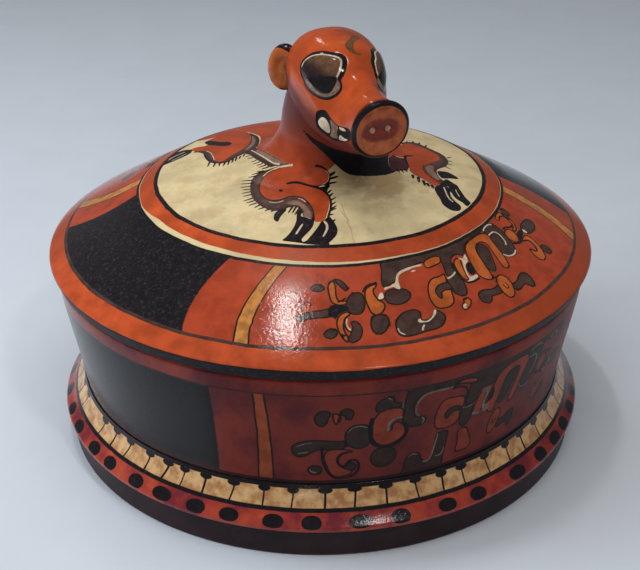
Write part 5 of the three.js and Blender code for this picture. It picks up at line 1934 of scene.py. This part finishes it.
def disc_slip():
    material, tree, shader, place = new_slip("snout slip")
    across, up = coat(tree, "across"), coat(tree, "up")
    wide = maths(tree, "POWER", times(tree, across, 1 / MIDDLE_REACH[0]), 2.0)
    tall = maths(tree, "POWER", times(tree, up, 1 / MIDDLE_REACH[1]), 2.0)
    spread = plus(tree, plus(tree, wide, tall), waver(tree, place, 5, 0.55))
    middle = ramp(tree, spread, 1.6, 0.9)
    colour = over(tree, middle, small_slip(tree, place, "disc"), small_slip(tree, place, "disc middle"))
    side = less(tree, maths(tree, "ABSOLUTE", across), NOSTRIL_OUT)
    square = plus(tree, maths(tree, "POWER", side, 2.0), maths(tree, "POWER", up, 2.0))
    nostril = ramp(tree, maths(tree, "SQRT", square), 1.9, 1.2)
    colour = over(tree, nostril, colour, small_slip(tree, place, "nostril"))
    rim = plus(tree, coat(tree, "out"), waver(tree, place, 5, 0.3))
    colour = over(tree, ramp(tree, rim, *DISC_INK), colour, slips(tree, place)["black"])
    burnish(tree, shader, place, colour, 0.2, 0.25)
    return material


SLIPS = {
    "foot": plain_slip("foot slip", FOOT_SLIP, 16, 0.4, 0.2),
    "lid": lid_slip(), "wall": wall_slip(), "flange": flange_slip(), "neck": neck_slip(),
    "head": head_slip(), "ear": ear_slip(), "disc": disc_slip(),
}

# Pieces of the vessel.

foot = turned("foot_ring", foot_outline(), FACETS["foot"], SLIPS["foot"])
put_in_scene("foot_ring_clay", foot, SLIPS["foot"], "vessel", ["foot_ring"])

bowl = turned("bowl", bowl_outline(), FACETS["bowl"], SLIPS["wall"])
painted(bowl, wall_coats, on_bowl, (1.5, 0.9))
put_in_scene("bowl_clay", bowl, SLIPS["wall"], "vessel", ["bowl"])

flange = turned("basal_flange", flange_outline(), FACETS["flange"], SLIPS["flange"])
painted(flange, flange_coats)
put_in_scene("flange_clay", flange, SLIPS["flange"], "vessel", ["basal_flange"])

# Pieces of the lid.

lid = turned("lid", lid_outline(), FACETS["lid"], SLIPS["lid"])
neck = neck_mesh()
CROWN = crown_patterns(solid_of(lid, neck))


def crown_coats(spots):
    return lid_coats(spots, CROWN)


painted(lid, crown_coats, on_dome, (1.1, 0.6))
put_in_scene("lid_clay", lid, SLIPS["lid"], "lid", ["lid"])
painted(neck, crown_coats, None, (0.9,))
put_in_scene("neck_clay", neck, SLIPS["neck"], "lid", ["knob_neck"])

head = head_mesh()
HEAD = head_patterns(solid_of(head))
model_head(head, HEAD)
paint_head(head, HEAD)
put_in_scene("head_clay", head, SLIPS["head"], "lid", ["peccary_head"])

disc = disc_mesh()
put_in_scene("snout_clay", disc, SLIPS["disc"], "lid", ["snout_disc"])

for name, side in (("ear_left", 1), ("ear_right", -1)):
    ear = ear_mesh(name, side)
    put_in_scene(name + "_clay", ear, SLIPS["ear"], "lid", [name])

# The stand, the light and the camera.

# The floor's colour varies by a hair's breadth, as plain paper does.
def stand_paper():
    material, tree, shader, place = new_slip("stand paper")
    cloud = ramp(tree, noise(tree, place, 60, 3.0), 0.3, 0.7)
    tree.links.new(over(tree, cloud, STAND_GREY, shaded(STAND_GREY, 0.97)), shader.inputs["Base Color"])
    shader.inputs["Roughness"].default_value = 0.7
    return material


STAND_HALF = 6.0


def make_stand():
    side = STAND_HALF
    plain = [(-side, -side, 0), (side, -side, 0), (side, side, 0), (-side, side, 0)]
    mesh = bpy.data.meshes.new("stand")
    mesh.from_pydata(plain, [], [(0, 1, 2, 3)])
    mesh.materials.append(stand_paper())
    stand = bpy.data.objects.new("stand", mesh)
    bpy.context.scene.collection.objects.link(stand)


def soft_light(name, place, aim, size, power, colour, mirrored_in_gloss=True, deep=None):
    light = bpy.data.lights.new(name, "AREA")
    light.size = size
    if deep:
        light.shape = "RECTANGLE"
        light.size_y = deep
    light.energy = power
    light.color = colour
    lamp = bpy.data.objects.new(name, light)
    lamp.location = place
    lamp.visible_glossy = mirrored_in_gloss
    lamp.rotation_euler = (Vector(aim) - Vector(place)).to_track_quat("-Z", "Y").to_euler()
    bpy.context.scene.collection.objects.link(lamp)


def make_world():
    world = bpy.data.worlds.new("room")
    world.use_nodes = True
    ground = world.node_tree.nodes["Background"]
    ground.inputs["Color"].default_value = (*ROOM_GREY, 1)
    ground.inputs["Strength"].default_value = 0.14
    bpy.context.scene.world = world


def make_camera():
    view = bpy.data.cameras.new("view")
    view.lens = LENS
    view.sensor_width = SENSOR
    camera = bpy.data.objects.new("view", view)
    camera.rotation_euler = camera_axes().to_euler()
    camera.location = CAMERA_PLACE * MM
    bpy.context.scene.collection.objects.link(camera)
    bpy.context.scene.camera = camera


make_stand()
make_world()
soft_light("sky", (-0.25, -0.2, 1.5), (0, 0, 0.1), 1.5, 11.8, (1, 0.97, 0.94), False)
soft_light("lamp", (-0.19, 0.05, 1.5), (0, 0, 0.1), 0.22, 2.0, (1, 0.98, 0.95), deep=0.04)
soft_light("spark", (0.05, 1.45, 1.5), (0, 0, 0.2), 0.05, 0.8, (1, 0.98, 0.95))
soft_light("glint", (-0.92, -1.8, 0.41), (0, 0, 0.18), 0.05, 0.5, (1, 0.98, 0.95))
soft_light("fill", (0.1, -1.2, 1.5), (0, 0, 0.1), 0.12, 4, (1, 0.98, 0.96))
soft_light("window", (-1.2, 0.45, 0.45), (-0.7, 0.25, 0), 0.6, 11, (0.85, 0.92, 1), False)
make_camera()
bpy.context.scene.view_settings.view_transform = "Standard"
